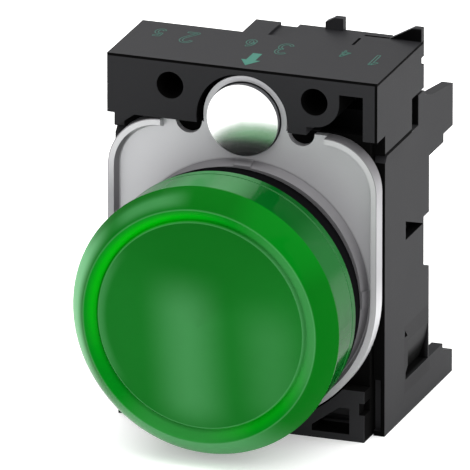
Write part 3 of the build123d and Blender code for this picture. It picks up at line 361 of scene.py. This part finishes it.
def box_group():
    """A mask that is one inside a box of object coordinates and fades out over a short way at its faces."""
    inputs = [
        ("Place", "NodeSocketVector", None),
        ("Low", "NodeSocketVector", (0.0, 0.0, 0.0)),
        ("High", "NodeSocketVector", (1.0, 1.0, 1.0)),
        ("Softness", "NodeSocketFloat", 0.05),
    ]
    tree, start, end = new_group("box_mask", inputs, ("Mask",))
    above = vector_maths(tree, "SUBTRACT", start.outputs["Place"], start.outputs["Low"])
    below = vector_maths(tree, "SUBTRACT", start.outputs["High"], start.outputs["Place"])
    x, y, z = components(tree, vector_maths(tree, "MINIMUM", above, below))
    least = maths(tree, "MINIMUM", maths(tree, "MINIMUM", x, y), z)
    ratio = maths(tree, "DIVIDE", least, start.outputs["Softness"])
    tree.links.new(maths(tree, "ADD", product(tree, ratio, 0.5), 0.5, True), end.inputs["Mask"])
    return tree


def brushed_group():
    """Short scratches: a noise that is stretched along the directions where its places run slowly."""
    inputs = [
        ("Place", "NodeSocketVector", None),
        ("Roughness", "NodeSocketFloat", 0.3),
        ("Spread", "NodeSocketFloat", 0.15),
        ("Stretch", "NodeSocketVector", (6.0, 0.6, 6.0)),
    ]
    tree, start, end = new_group("brushed_grain", inputs, ("Height", "Roughness", "Brightness"))
    stretched = vector_maths(tree, "MULTIPLY", start.outputs["Place"], start.outputs["Stretch"])
    noise_inputs = {"Vector": stretched, "Scale": 2.0, "Detail": 4.0}
    noise = add_node(tree, "ShaderNodeTexNoise", noise_inputs).outputs[0]
    offset = maths(tree, "SUBTRACT", noise, 0.5)
    rough = product(tree, offset, start.outputs["Spread"])
    tree.links.new(noise, end.inputs["Height"])
    tree.links.new(maths(tree, "ADD", rough, start.outputs["Roughness"], True), end.inputs["Roughness"])
    tree.links.new(maths(tree, "ADD", product(tree, offset, 0.12), 1.0), end.inputs["Brightness"])
    return tree


def glow_group():
    """A mask that is one in one direction from the lens axis and fades out at a given angle to each side."""
    inputs = [
        ("Place", "NodeSocketVector", None),
        ("Angle", "NodeSocketFloat", 0.0),
        ("Width", "NodeSocketFloat", 0.5),
    ]
    tree, start, end = new_group("round_glow", inputs, ("Mask",))
    x, _, z = components(tree, start.outputs["Place"])
    here = maths(tree, "ARCTAN2", z, x)
    likeness = maths(tree, "COSINE", maths(tree, "SUBTRACT", here, start.outputs["Angle"]))
    edge = maths(tree, "COSINE", start.outputs["Width"])
    tree.links.new(fade(tree, likeness, edge, 1.0), end.inputs["Mask"])
    return tree


def shared_group(name):
    """The named node group, made on first use."""
    makers = {
        "mould_grain": grain_group,
        "box_mask": box_group,
        "brushed_grain": brushed_group,
        "round_glow": glow_group,
    }
    return bpy.data.node_groups.get(name) or makers[name]()


def place_group(tree, name, inputs):
    """Puts a shared group into a material's tree."""
    return add_node(tree, "ShaderNodeGroup", inputs, node_tree=shared_group(name))


def new_material(name):
    """A material with a bare Principled shader; returns it with its tree and the shader."""
    material = bpy.data.materials.new(name)
    material.use_nodes = True
    tree = material.node_tree
    shader = next(node for node in tree.nodes if node.type == "BSDF_PRINCIPLED")
    return material, tree, shader


def dress(slot_name, material):
    """Gives every CAD node of one material slot its finish."""
    nodes = [part["node"] for part in frame["record"]["subparts"] if part["material_slot"] == slot_name]
    if not nodes:
        raise RuntimeError(f"no node has the material slot {slot_name}")
    for name in nodes:
        for slot in frame["nodes"][name].material_slots:
            slot.material = material


def bump(tree, shader, height, strength, depth):
    """Feeds a height through a Bump node into the shader's normal."""
    node = add_node(tree, "ShaderNodeBump", {"Height": height, "Strength": strength, "Distance": depth})
    tree.links.new(node.outputs[0], shader.inputs["Normal"])


def surface(tree, shader, colour, grain):
    """Feeds a colour, shaded by a grain's brightness, and the grain's roughness into the shader."""
    tree.links.new(scaled(tree, colour, grain.outputs["Brightness"]), shader.inputs["Base Color"])
    tree.links.new(grain.outputs["Roughness"], shader.inputs["Roughness"])


def moulded_material(name, colour, settings, roughness, specular=0.5, marks=()):
    """Moulded plastic or rubber with a fine grain; painted shade in recesses and along edges is given as
    boxes in mm: (low, high, softness).
    """
    material, tree, shader = new_material(name)
    place = object_place(tree)
    grains = MM / settings.grain_size
    inputs = {"Place": place, "Grains per mm": grains, "Roughness": roughness}
    grain = place_group(tree, "mould_grain", inputs)
    base = scaled(tree, tuple(colour), grain.outputs["Brightness"])
    rough = grain.outputs["Roughness"]
    mask = None
    # Each box paints shade: inside it the colour turns to the recess colour and the roughness rises.
    for low, high, softness in marks:
        inputs = {"Place": place, "Low": low, "High": high, "Softness": softness}
        box = place_group(tree, "box_mask", inputs).outputs[0]
        mask = box if mask is None else maths(tree, "MAXIMUM", mask, box)
    if mask is not None:
        base = blend_colours(tree, mask, base, tuple(settings.painted_shade_colour))
        rough = maths(tree, "MAXIMUM", rough, mask)
    tree.links.new(base, shader.inputs["Base Color"])
    tree.links.new(rough, shader.inputs["Roughness"])
    shader.inputs["Specular IOR Level"].default_value = specular
    bump(tree, shader, grain.outputs["Height"], settings.grain_depth, 0.05 * MM)
    return material


def metal_material(name, colour, roughness, spread):
    """Bare or plated metal with short scratches along the lens axis."""
    material, tree, shader = new_material(name)
    inputs = {"Place": object_place(tree), "Roughness": roughness, "Spread": spread, "Stretch": ALONG_STRETCH}
    brushed = place_group(tree, "brushed_grain", inputs)
    surface(tree, shader, tuple(colour), brushed)
    shader.inputs["Metallic"].default_value = 1.0
    bump(tree, shader, brushed.outputs["Height"], 0.1, 0.02 * MM)
    return material


def lens_material(settings):
    """Green plastic over a milky disc: each ring of the cap has its colour, with painted highlights,
    reflections and shade round the axis.
    """
    material, tree, shader = new_material("lens_green_polished")
    place = object_place(tree)
    x, y, z = components(tree, place)
    radius = distance(tree, x, z)
    highlight_green, pale = tuple(settings.highlight_colour), tuple(settings.reflection_colour)
    shade_green, sheen = tuple(settings.shade_green_colour), tuple(settings.painted_sheen_colour)
    band_green = tuple(settings.band_colour)

    def paint_light_shade(base, angle, width, strength, colour, across=1.0):
        """Painted light or shade in the given colour round one direction from the axis: both angles in
        degrees, times a mask across the rings.
        """
        inputs = {"Place": place, "Angle": radians(angle), "Width": radians(width)}
        mask = place_group(tree, "round_glow", inputs).outputs[0]
        return blend_colours(tree, product(tree, mask, strength, across), base, colour)

    def reflection_streak(base, middle, half_width, low, high, strength):
        """A soft upright painted reflection streak that leans a little to the left, fades below low and fades
        above high.
        """
        lean, below, above = 0.07, 5.0, 6.0
        leaning = maths(tree, "ADD", x, product(tree, z, lean))
        side = fade(tree, apart(tree, leaning, middle), half_width, 0.0)
        rise = product(tree, fade(tree, z, low - below, low), fade(tree, z, high + above, high))
        return blend_colours(tree, product(tree, side, rise, strength), base, pale)

    # The dome has painted shade at the top, two painted reflection streaks and a painted highlight along its
    # edge on the left. Each painted glow has its direction, counted from the right by way of the top, its
    # width to each side and its strength.
    dome = paint_light_shade(tuple(settings.dome_colour), 90, 75, 0.5, shade_green)
    dome = reflection_streak(dome, middle=-1.4, half_width=5.4, low=-8.0, high=1.0, strength=0.5)
    dome = reflection_streak(dome, middle=7.9, half_width=5.0, low=-7.0, high=-1.0, strength=0.25)
    dome = paint_light_shade(dome, 180, 45, 0.4, pale, fade(tree, radius, 10.2, 11.2))
    # The band has a painted highlight along its inner edge, above a thin line of painted shade at the dome,
    # and painted reflections at the right and below.
    inner = fade(tree, radius, 12.85, 12.0)
    band = paint_light_shade(band_green, 140, 80, 1.0, highlight_green, inner)
    band = paint_light_shade(band, 312, 45, 0.5, highlight_green, inner)
    band = paint_light_shade(band, 175, 60, 0.7, shade_green, fade(tree, radius, 11.75, 11.5))
    band = paint_light_shade(band, 15, 60, 0.5, pale)
    band = paint_light_shade(band, 262, 40, 0.25, pale)
    # The flank has a painted sheen at its outer edge on the left, softer painted reflections above and below,
    # a painted lighter patch at the upper right and painted shade at its outer edge at the upper left.
    middle = fade(tree, apart(tree, radius, 13.8), 1.0, 0.1)
    flank = paint_light_shade(tuple(settings.flank_colour), 116, 23, 0.55, pale, middle)
    flank = paint_light_shade(flank, 262, 55, 0.95, pale)
    flank = paint_light_shade(flank, 50, 28, 0.6, band_green)
    flank = paint_light_shade(flank, 178, 46, 0.95, sheen, fade(tree, radius, 12.8, 14.0))
    flank = paint_light_shade(flank, 125, 30, 0.7, shade_green, fade(tree, radius, 14.0, 14.5))
    # The skirt has painted reflections at the top and the right, and the groove near the seal is painted
    # paler, a painted highlight over its shade.
    skirt = paint_light_shade(tuple(settings.skirt_colour), 90, 21, 0.5, pale)
    skirt = paint_light_shade(skirt, 108, 20, 0.4, pale)
    skirt = paint_light_shade(skirt, 24, 28, 0.2, pale)
    groove = product(tree, fade(tree, y, -4.13, -4.10), fade(tree, y, -3.82, -3.85))
    skirt = blend_colours(tree, product(tree, groove, 0.8), skirt, pale)

    # The rings' greens differ partly as painted light and shade, for how light falls on each ring's slope.
    front = blend_colours(tree, fade(tree, radius, *DOME_END), dome, band)
    front = blend_colours(tree, fade(tree, radius, *BAND_END), front, flank)
    # A painted highlight line runs along each ring's edge.
    for line_radius, strength in RING_HIGHLIGHTS:
        line = fade(tree, apart(tree, radius, line_radius), 0.14, 0.03)
        front = blend_colours(tree, product(tree, line, strength), front, pale)
    base = blend_colours(tree, fade(tree, y, *SKIRT_START), front, skirt)
    inputs = {"Place": place, "Grains per mm": 0.6, "Roughness": settings.roughness}
    surface(tree, shader, base, place_group(tree, "mould_grain", inputs))
    shader.inputs["Specular IOR Level"].default_value = 0.02
    return material


def plate_material(settings):
    """Satin cast metal with painted light and shade: the collar and sides are painted darker than the tray as
    shade, and a painted highlight line runs round the collar.
    """
    material, tree, shader = new_material("plate_satin")
    place = object_place(tree)
    x, y, z = components(tree, place)
    floor, collar = tuple(settings.plate_colour), tuple(settings.collar_shade_colour)
    light = tuple(settings.plate_highlight_colour)

    # Painted light makes the rim lighter towards the top and the right, and painted shade darkens its slope
    # down to the floor on the left.
    lighter = maths(tree, "MAXIMUM", fade(tree, z, 8.0, 14.0), fade(tree, x, 8.0, 13.0))
    rim = blend_colours(tree, lighter, tuple(settings.rim_colour), light)
    base = blend_colours(tree, fade(tree, y, HOLDER_FRONT + 0.05, HOLDER_FRONT + 0.8), rim, floor)
    slope_top = fade(tree, y, HOLDER_FRONT + 0.02, HOLDER_FRONT + 0.1)
    slope_foot = fade(tree, y, HOLDER_FRONT + 0.85, HOLDER_FRONT + 0.75)
    slope = product(tree, slope_top, slope_foot)
    base = blend_colours(tree, product(tree, slope, fade(tree, x, -12.0, -13.0)), base, collar)

    radius = distance(tree, x, z)
    # Painted shade darkens the collar inside its radius, and a painted highlight line runs round its edge.
    base = blend_colours(tree, fade(tree, radius, COLLAR_RADIUS + 0.1, COLLAR_RADIUS - 0.05), base, collar)
    line = fade(tree, apart(tree, radius, COLLAR_RADIUS), 0.16, 0.04)
    base = blend_colours(tree, product(tree, line, 0.6), base, light)

    # The upper corners' outer wall lies at the corner radius from a smaller rectangle through their centres.
    wide = maths(tree, "SUBTRACT", maths(tree, "ABSOLUTE", x), CORNER_CENTRE[0])
    high = maths(tree, "SUBTRACT", apart(tree, z, PLATE_MIDDLE_Z), CORNER_CENTRE[1])
    reach = distance(tree, maths(tree, "MAXIMUM", wide, 0.0), maths(tree, "MAXIMUM", high, 0.0))
    wall = product(tree, fade(tree, reach, *CORNER_WALL), fade(tree, wide, -0.4, 0.0))
    # Painted shade darkens the corners' outer wall, more strongly higher up.
    lower_shade = product(tree, fade(tree, z, -1.5, 3.0), 0.6)
    upper_shade = product(tree, fade(tree, z, 8.0, 15.0), 0.4)
    wall = product(tree, wall, maths(tree, "ADD", lower_shade, upper_shade))
    base = blend_colours(tree, wall, base, collar)

    inputs = {"Place": place, "Roughness": 0.5, "Spread": 0.06, "Stretch": EVEN_STRETCH}
    cast = place_group(tree, "brushed_grain", inputs)
    surface(tree, shader, base, cast)
    shader.inputs["Metallic"].default_value = 0.45
    bump(tree, shader, cast.outputs["Height"], 0.05, 0.02 * MM)
    return material


def foot_material(settings):
    """Bright plating on the foot's face, which looks slightly up; its edge and hub are painted darker, a
    painted reflection of dark surroundings on the same plating.
    """
    material, tree, shader = new_material("foot_plating")
    place = object_place(tree)
    inputs = {"Place": place, "Roughness": 0.23, "Spread": 0.02, "Stretch": EVEN_STRETCH}
    plating = place_group(tree, "brushed_grain", inputs)
    y, z = components(tree, place)[1:]
    depth = maths(tree, "SUBTRACT", y, HOLDER_FRONT)
    face, hub = tuple(settings.chrome_colour), tuple(settings.hub_shade_colour)
    # The edge and hub are painted darker than the face: a painted reflection of dark surroundings on the same
    # plating.
    base = blend_colours(tree, fade(tree, depth, 0.14, 0.2), face, hub)
    surface(tree, shader, base, plating)
    shader.inputs["Metallic"].default_value = 1.0
    # A height that falls as z rises leans the whole face back.
    bump(tree, shader, product(tree, z, -0.014), 1.0, MM)
    return material


def board_material(settings):
    """Green laminate with paler copper runs under the lacquer."""
    material, tree, shader = new_material("board_laminate_lacquered")
    place = object_place(tree)
    inputs = {"Vector": place, "Scale": 0.22, "Distortion": 3.0, "Detail": 1.0}
    wave = add_node(tree, "ShaderNodeTexWave", inputs, bands_direction="Z").outputs["Fac"]
    runs = fade(tree, wave, 0.62, 0.68)
    laminate = tuple(settings.board_colour)
    base = blend_colours(tree, runs, laminate, tuple(min(1.0, 1.9 * part) for part in laminate))
    grain = place_group(tree, "mould_grain", {"Place": place, "Grains per mm": 3.0, "Roughness": 0.35})
    surface(tree, shader, base, grain)
    bump(tree, shader, runs, 0.4, 0.03 * MM)
    return material


def resistor_material(settings, low_y):
    """Pale lacquer with four colour bands along the barrel, which starts at the given depth in mm."""
    material, tree, shader = new_material("resistor_lacquer")
    place = object_place(tree)
    along = maths(tree, "SUBTRACT", components(tree, place)[1], low_y)
    lacquer = tuple(settings.resistor_colour)
    band_width = 0.08
    bands = (
        (0.16, (0.3, 0.12, 0.02)),
        (0.32, (0.01, 0.01, 0.01)),
        (0.48, (0.45, 0.04, 0.01)),
        (0.78, (0.6, 0.4, 0.08)),
    )
    stops = [(0.0, lacquer)]
    for start, colour in bands:
        stops += [(start, colour), (start + band_width, lacquer)]
    base = stepped_ramp(tree, maths(tree, "DIVIDE", along, RESISTOR_LENGTH), stops)
    grain = place_group(tree, "mould_grain", {"Place": place, "Grains per mm": 1.0, "Roughness": 0.3})
    surface(tree, shader, base, grain)
    return material


class PILOT_OT_lens_finishes(bpy.types.Operator):
    """Give the cap its green and the disc behind it its milky white"""

    bl_idname = "pilot.lens_finishes"
    bl_label = "Finish the lens"

    def execute(self, context):
        lens = context.scene.pilot_lens
        moulding = context.scene.pilot_moulding
        dress("lens_green", lens_material(lens))
        dress("diffuser_white", moulded_material("diffuser_milky", lens.diffuser_colour, moulding, 0.55))
        return {"FINISHED"}


def holder_shade_boxes(line):
    """Boxes in millimetres where shade is painted on the holder: lines of painted shade along its edges, of
    the given width, and painted shade in its recesses.
    """
    side, top = HOLDER_SIDE, HOLDER_TOP
    skin, beyond = 0.02, 1.0

    def recess(xs, depths, zs, softness=0.05):
        """A box from two x, two depths behind the holder's front and two z."""
        low, high = zip(xs, [HOLDER_FRONT + depth for depth in depths], zs)
        return low, high, softness

    return [
        # Painted shade lines along the edges of the front and of the right side, and above the carrier
        recess((-side - beyond, side + beyond), (-beyond, skin), (top - line, top + skin), skin),
        recess((side - line, side + beyond), (-beyond, skin), (17.6, top + skin), skin),
        recess((side - skin, side + beyond), (-beyond, 14.8), (top - line, top + skin), skin),
        recess((side - skin, side + beyond), (2.5, 11.0), (15.2, 15.33 + line), skin),
        # Painted shade in the two bores, the angled opening, the recess round the foot and the web behind the
        # plate
        recess((-9.55, -6.45), (0.1, 9.2), (19.8, 22.95)),
        recess((6.45, 9.55), (0.1, 9.2), (19.8, 22.95)),
        recess((8.0, 13.45), (0.12, 11.0), (17.5, 22.55)),
        recess((-5.3, 5.3), (0.15, 2.4), (13.2, 23.6)),
        recess((-14.0, 13.72), (0.12, 3.3), (-15.8, 17.6)),
        # Painted shade on the carrier's front edge, in the gap below the hood and in the slot behind it
        recess((13.4, side + beyond), (2.3, 2.53), (-15.8, 17.7), 0.03),
        recess((12.0, side - 0.05), (10.9, 13.12), (15.4, 19.0)),
        # Painted shade on the ear's front, in the roof's slit and in the thin groove
        recess((11.3, side - 0.05), (13.9, 14.06), (24.25, 25.6)),
        recess((8.3, 8.65), (10.9, 13.3), (22.0, top - 0.05)),
        recess((8.6, 11.4), (14.0, 14.4), (22.0, top + 0.1)),
        # Painted shade in the window, the dimple and the deep end of the latch pocket in the side
        recess((13.0, side - 0.05), (9.0, 14.6), (3.8, 6.0)),
        recess((13.0, side - 0.05), (8.9, 9.85), (-7.05, -6.1)),
        recess((12.0, side - 0.15), (9.0, 16.6), (-13.0, -6.0), 0.35),
    ]


class PILOT_OT_moulding_finishes(bpy.types.Operator):
    """Give the black mouldings and the rubber their finishes"""

    bl_idname = "pilot.moulding_finishes"
    bl_label = "Finish the mouldings"

    def execute(self, context):
        moulding = context.scene.pilot_moulding
        marks = holder_shade_boxes(moulding.edge_width / MM)
        finishes = [
            # The slot, the finish's name, its colour, roughness and specular level, and its boxes of painted
            # shade
            ("holder_plastic", "holder_moulding", moulding.holder_colour, 0.55, 0.06, marks),
            ("front_plastic", "front_moulding", moulding.front_colour, 0.5, 0.0, ()),
            ("module_plastic", "module_moulding", moulding.module_colour, 0.55, 0.2, ()),
            ("seal_rubber", "seal_rubber_matt", moulding.rubber_colour, 0.7, 0.0, ()),
        ]
        for slot, name, colour, roughness, specular, dark in finishes:
            dress(slot, moulded_material(name, colour, moulding, roughness, specular, dark))
        return {"FINISHED"}


class PILOT_OT_metal_finishes(bpy.types.Operator):
    """Give the plate, the foot, the screws, the wire and the strips their metal"""

    bl_idname = "pilot.metal_finishes"
    bl_label = "Finish the metal"

    def execute(self, context):
        metal = context.scene.pilot_metal
        dress("plate_metal", plate_material(metal))
        dress("foot_chrome", foot_material(metal))
        dress("zinc_steel", metal_material("zinc_plating", metal.zinc_colour, 0.34, 0.18))
        dress("spring_steel", metal_material("spring_wire", metal.spring_colour, 0.28, 0.12))
        dress("contact_brass", metal_material("contact_strip_brass", metal.brass_colour, 0.3, 0.15))
        return {"FINISHED"}


class PILOT_OT_module_finishes(bpy.types.Operator):
    """Give the board and the components in the lamp module their finishes"""

    bl_idname = "pilot.module_finishes"
    bl_label = "Finish the lamp module's inside"

    def execute(self, context):
        module = context.scene.pilot_module
        moulding = context.scene.pilot_moulding
        dress("board_laminate", board_material(module))
        dress("resistor_coat", resistor_material(module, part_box("dropping_resistor")[0].y / MM))
        dress("lamp_resin", moulded_material("lamp_resin_tinted", module.lamp_colour, moulding, 0.15))
        dress("component_plastic", moulded_material("rectifier_case", module.rectifier_colour, moulding, 0.4))
        dress("capacitor_film", moulded_material("capacitor_coating", module.capacitor_colour, moulding, 0.2))
        return {"FINISHED"}


def arc(centre, radii, start, end, count=14):
    """Points on an ellipse between two angles in degrees: centre plus the radii times cosine and sine."""
    angle = np.radians(np.linspace(start, end, count))
    return np.column_stack((centre[0] + radii[0] * np.cos(angle), centre[1] + radii[1] * np.sin(angle)))


def number_path(number):
    """The middle line of a printed number in a unit square, x to the right and y up."""
    if number == 1:
        return np.array([(0.2, 0.72), (0.55, 1.0), (0.55, 0.0)])
    if number == 2:
        return np.vstack((arc((0.5, 0.72), (0.36, 0.28), 165, -40), [(0.12, 0.0), (0.9, 0.0)]))
    if number == 3:
        upper = arc((0.48, 0.74), (0.34, 0.26), 150, -80, 12)
        return np.vstack((upper, arc((0.48, 0.27), (0.38, 0.27), 75, -155)))
    if number == 4:
        return np.array([(0.72, 0.0), (0.72, 1.0), (0.08, 0.3), (0.95, 0.3)])
    if number == 5:
        bowl = arc((0.45, 0.32), (0.4, 0.32), 115, -150)
        return np.vstack(([(0.85, 1.0), (0.28, 1.0), (0.2, 0.58)], bowl))
    if number == 6:
        bowl = arc((0.5, 0.3), (0.36, 0.3), 160, -190, 22)
        return np.vstack(([(0.72, 0.97)], arc((0.75, 0.45), (0.6, 0.5), 112, 170, 8), bowl))
    raise ValueError(f"no path for the number {number}")


def resampled(path, count):
    """The same line with evenly spaced points, found along its running length."""
    steps = np.hypot(*np.diff(path, axis=0).T)
    length = np.concatenate(([0.0], np.cumsum(steps)))
    even = np.linspace(0.0, length[-1], count)
    return np.column_stack([np.interp(even, length, path[:, axis]) for axis in (0, 1)])


def side_normals(path, closed):
    """A unit normal at each point, at right angles to the line through its neighbours."""
    if closed:
        along = np.roll(path, -1, axis=0) - np.roll(path, 1, axis=0)
    else:
        along = np.gradient(path, axis=0)
    along /= np.hypot(along[:, 0], along[:, 1])[:, None]
    return np.column_stack((-along[:, 1], along[:, 0]))


def stroke_outline(path, body):
    """The closed line round a stroke: the path moved half the body to each side."""
    offset = side_normals(path, False) * body / 2
    return np.vstack((path + offset, (path - offset)[::-1]))


def ribbon_mesh(name, loop, width, low, high):
    """A closed flat band: an oblong section of the given width, from low to high, carried round the loop."""
    offset = side_normals(loop, True) * width / 2
    count = len(loop)
    sections = np.empty((count, 4, 3))
    sections[:, (0, 3), :2] = (loop + offset)[:, None]
    sections[:, (1, 2), :2] = (loop - offset)[:, None]
    sections[:, :2, 2] = high
    sections[:, 2:, 2] = low
    i, j = np.meshgrid(np.arange(count), np.arange(4), indexing="ij")
    ahead = (i + 1) % count
    beside = (j + 1) % 4
    corners = (i * 4 + j, i * 4 + beside, ahead * 4 + beside, ahead * 4 + j)
    faces = np.stack(corners, axis=-1).reshape(-1, 4)
    # The faces are turned round where the first one looks at the middle of its section.
    first = sections.reshape(-1, 3)[faces[0]]
    outwards = np.cross(first[1] - first[0], first[3] - first[0])
    if outwards @ (first.mean(axis=0) - sections[0].mean(axis=0)) < 0:
        faces = faces[:, ::-1]
    mesh = bpy.data.meshes.new(name)
    mesh.from_pydata(sections.reshape(-1, 3).tolist(), [], faces.tolist())
    return mesh


def prism_mesh(name, outline, low, high):
    """A flat plate with a given outline: the outline at two heights, joined by walls."""
    count = len(outline)
    low_ring = np.column_stack((outline, np.full(count, low)))
    high_ring = np.column_stack((outline, np.full(count, high)))
    i = np.arange(count)
    ahead = (i + 1) % count
    walls = np.column_stack((i, ahead, ahead + count, i + count))
    faces = [i[::-1].tolist(), (i + count).tolist(), *walls.tolist()]
    mesh = bpy.data.meshes.new(name)
    mesh.from_pydata(np.vstack((low_ring, high_ring)).tolist(), [], faces)
    return mesh


def arrow_outline():
    """The arrow's corners from its tip round by the right, in metres: it points at the holder's front."""
    half_shaft, half_head = 0.5, 1.05
    tip, neck, tail = 1.0, 2.75, 4.9
    right = [(0.0, tip), (half_head, neck), (half_shaft, neck), (half_shaft, tail)]
    left = [(-x, depth) for x, depth in right[:0:-1]]
    return np.array(right + left) * MM + (0.0, HOLDER_FRONT_Y)


def add_piece(name, mesh, material, body):
    """Puts a mesh into the scene as a piece that rides on a CAD body."""
    piece = bpy.data.objects.new(name, mesh)
    bpy.context.scene.collection.objects.link(piece)
    mesh.materials.append(material)
    mesh.validate()
    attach(piece, body)


class PILOT_OT_slot_marks(bpy.types.Operator):
    """Print the slot numbers and the arrow on the holder's top"""

    bl_idname = "pilot.slot_marks"
    bl_label = "Print the marks"

    def execute(self, context):
        marks = context.scene.pilot_marks
        moulding = context.scene.pilot_moulding
        thin_print = moulded_material("number_print", marks.number_colour, moulding, 0.6, 0.2)
        full_print = moulded_material("arrow_print", marks.arrow_colour, moulding, 0.6, 0.2)
        low = HOLDER_TOP * MM - marks.thickness
        high = HOLDER_TOP * MM + marks.thickness
        # Each number with its height and its middle in millimetres: x, and depth behind the holder's front
        numbers = [
            (5, marks.small, -12.0, 7.8),
            (2, marks.large, -8.5, 7.3),
            (6, marks.small, -1.84, 7.8),
            (3, marks.large, 2.08, 7.2),
            (4, marks.small, 8.64, 7.9),
            (1, marks.large, 12.27, 7.05),
        ]
        for number, size, x, depth in numbers:
            path = (number_path(number) - 0.5) * (NUMBER_WIDTH * size, size)
            # The four's strokes are thinner, or its small triangle would fill.
            body = marks.body * (0.5 if number == 4 else 1.0)
            loop = stroke_outline(resampled(path, NUMBER_POINTS), body)
            # The numbers are read from the rear, so they stand turned half round.
            loop = np.array((x * MM, HOLDER_FRONT_Y + depth * MM)) - loop
            name = f"slot_number_{number}"
            add_piece(name, ribbon_mesh(name, loop, marks.line, low, high), thin_print, "holder")
        arrow = prism_mesh("front_arrow", arrow_outline(), low, high)
        add_piece("front_arrow", arrow, full_print, "holder")
        return {"FINISHED"}


def lay_floor(settings):
    """A wide pale floor at the object's lowest point."""
    reach, z = 2.0, CAD_LOW.z
    corners = [(-reach, -reach, z), (reach, -reach, z), (reach, reach, z), (-reach, reach, z)]
    mesh = bpy.data.meshes.new("floor")
    mesh.from_pydata(corners, [], [(0, 1, 2, 3)])
    floor = bpy.data.objects.new("floor", mesh)
    bpy.context.scene.collection.objects.link(floor)
    material, _, shader = new_material("floor_pale")
    shader.inputs["Base Color"].default_value = (*settings.floor_colour, 1.0)
    shader.inputs["Roughness"].default_value = 0.9
    shader.inputs["Specular IOR Level"].default_value = 0.0
    # A faint light of its own keeps the shadow on the floor soft.
    shader.inputs["Emission Color"].default_value = WHITE
    shader.inputs["Emission Strength"].default_value = settings.floor_light
    mesh.materials.append(material)


def hang_backdrop(settings):
    """An even white world: it looks fully white to the camera, and its light on the object is dimmer."""
    world = bpy.data.worlds.new("studio")
    world.use_nodes = True
    tree = world.node_tree
    backdrop = tree.nodes["Background"]
    backdrop.inputs["Color"].default_value = WHITE
    seen = add_node(tree, "ShaderNodeLightPath").outputs["Is Camera Ray"]
    tree.links.new(maths(tree, "MAXIMUM", seen, settings.sky), backdrop.inputs["Strength"])
    bpy.context.scene.world = world


def area_light(name, place, aim, size, power):
    """A square soft light that looks from one point to another."""
    light = bpy.data.lights.new(name, "AREA")
    light.shape = "SQUARE"
    light.size = size
    light.energy = power
    lamp = bpy.data.objects.new(name, light)
    lamp.rotation_euler = (Vector(aim) - Vector(place)).to_track_quat("-Z", "Y").to_euler()
    lamp.location = place
    bpy.context.scene.collection.objects.link(lamp)


def view_axes(azimuth, elevation):
    """The camera's right, up and backward directions for a turn to the right and a height angle."""
    right = Vector((cos(azimuth), sin(azimuth), 0.0))
    toward = Vector((sin(azimuth) * cos(elevation), -cos(azimuth) * cos(elevation), sin(elevation)))
    return right, toward.cross(right), toward


def place_camera(settings):
    """A camera with a long lens, as far away as makes the picture the set width at the holder's front."""
    right, up, toward = view_axes(settings.azimuth, settings.elevation)
    target = Vector((0.0, HOLDER_FRONT_Y, 0.0)) - right * settings.aim_left + up * settings.aim_up
    back = settings.focal * settings.view_width / SENSOR_WIDTH
    data = bpy.data.cameras.new("camera")
    data.sensor_width = SENSOR_WIDTH
    data.lens = settings.focal
    data.clip_start = 0.1
    data.clip_end = 20.0
    camera = bpy.data.objects.new("camera", data)
    turn = Matrix((right, up, toward)).transposed().to_4x4()
    camera.matrix_world = Matrix.Translation(target + toward * back) @ turn
    bpy.context.scene.collection.objects.link(camera)
    bpy.context.scene.camera = camera


class PILOT_OT_stage(bpy.types.Operator):
    """Set up the floor, the lights and the camera"""

    bl_idname = "pilot.stage"
    bl_label = "Set the stage"

    def execute(self, context):
        stage = context.scene.pilot_stage
        lay_floor(stage)
        hang_backdrop(stage)
        middle = (0.0, 0.01, 0.004)
        lens_foot = (0.0, -0.03, -0.015)
        area_light("top_light", (0.02, 0.08, 0.42), middle, 0.8, stage.top)
        area_light("key_light", (0.4, 0.0, 0.12), middle, 0.5, stage.key)
        area_light("fill_light", (-0.05, -0.5, 0.25), lens_foot, 0.5, stage.fill)
        area_light("back_light", (-0.3, 0.25, 0.2), middle, 0.45, stage.back)
        place_camera(stage)
        context.scene.view_settings.view_transform = "Standard"
        return {"FINISHED"}


OPERATORS = (
    PILOT_OT_lens_finishes,
    PILOT_OT_moulding_finishes,
    PILOT_OT_metal_finishes,
    PILOT_OT_module_finishes,
    PILOT_OT_slot_marks,
    PILOT_OT_stage,
)


class PILOT_PT_sidebar(bpy.types.Panel):
    """Lists the steps and their settings"""

    bl_idname = "PILOT_PT_sidebar"
    bl_label = "Pilot Light"
    bl_space_type = "VIEW_3D"
    bl_region_type = "UI"
    bl_category = "Pilot Light"

    def draw(self, context):
        for name, group in SETTINGS.items():
            box = self.layout.box()
            for setting in group.__annotations__:
                box.prop(getattr(context.scene, name), setting)
        for operator in OPERATORS:
            self.layout.operator(operator.bl_idname)


def register():
    """Registers the classes and hangs the settings on the scene."""
    for cls in (*SETTINGS.values(), *OPERATORS, PILOT_PT_sidebar):
        bpy.utils.register_class(cls)
    for name, group in SETTINGS.items():
        setattr(bpy.types.Scene, name, bpy.props.PointerProperty(type=group))


def unregister():
    """Takes the settings off the scene and removes the classes, in the reverse order."""
    for name in SETTINGS:
        delattr(bpy.types.Scene, name)
    for cls in (PILOT_PT_sidebar, *reversed(OPERATORS), *reversed(SETTINGS.values())):
        bpy.utils.unregister_class(cls)


def main():
    """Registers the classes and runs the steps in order."""
    register()
    bpy.ops.pilot.lens_finishes()
    bpy.ops.pilot.moulding_finishes()
    bpy.ops.pilot.metal_finishes()
    bpy.ops.pilot.module_finishes()
    bpy.ops.pilot.slot_marks()
    bpy.ops.pilot.stage()


if __name__ == "__main__":
    main()
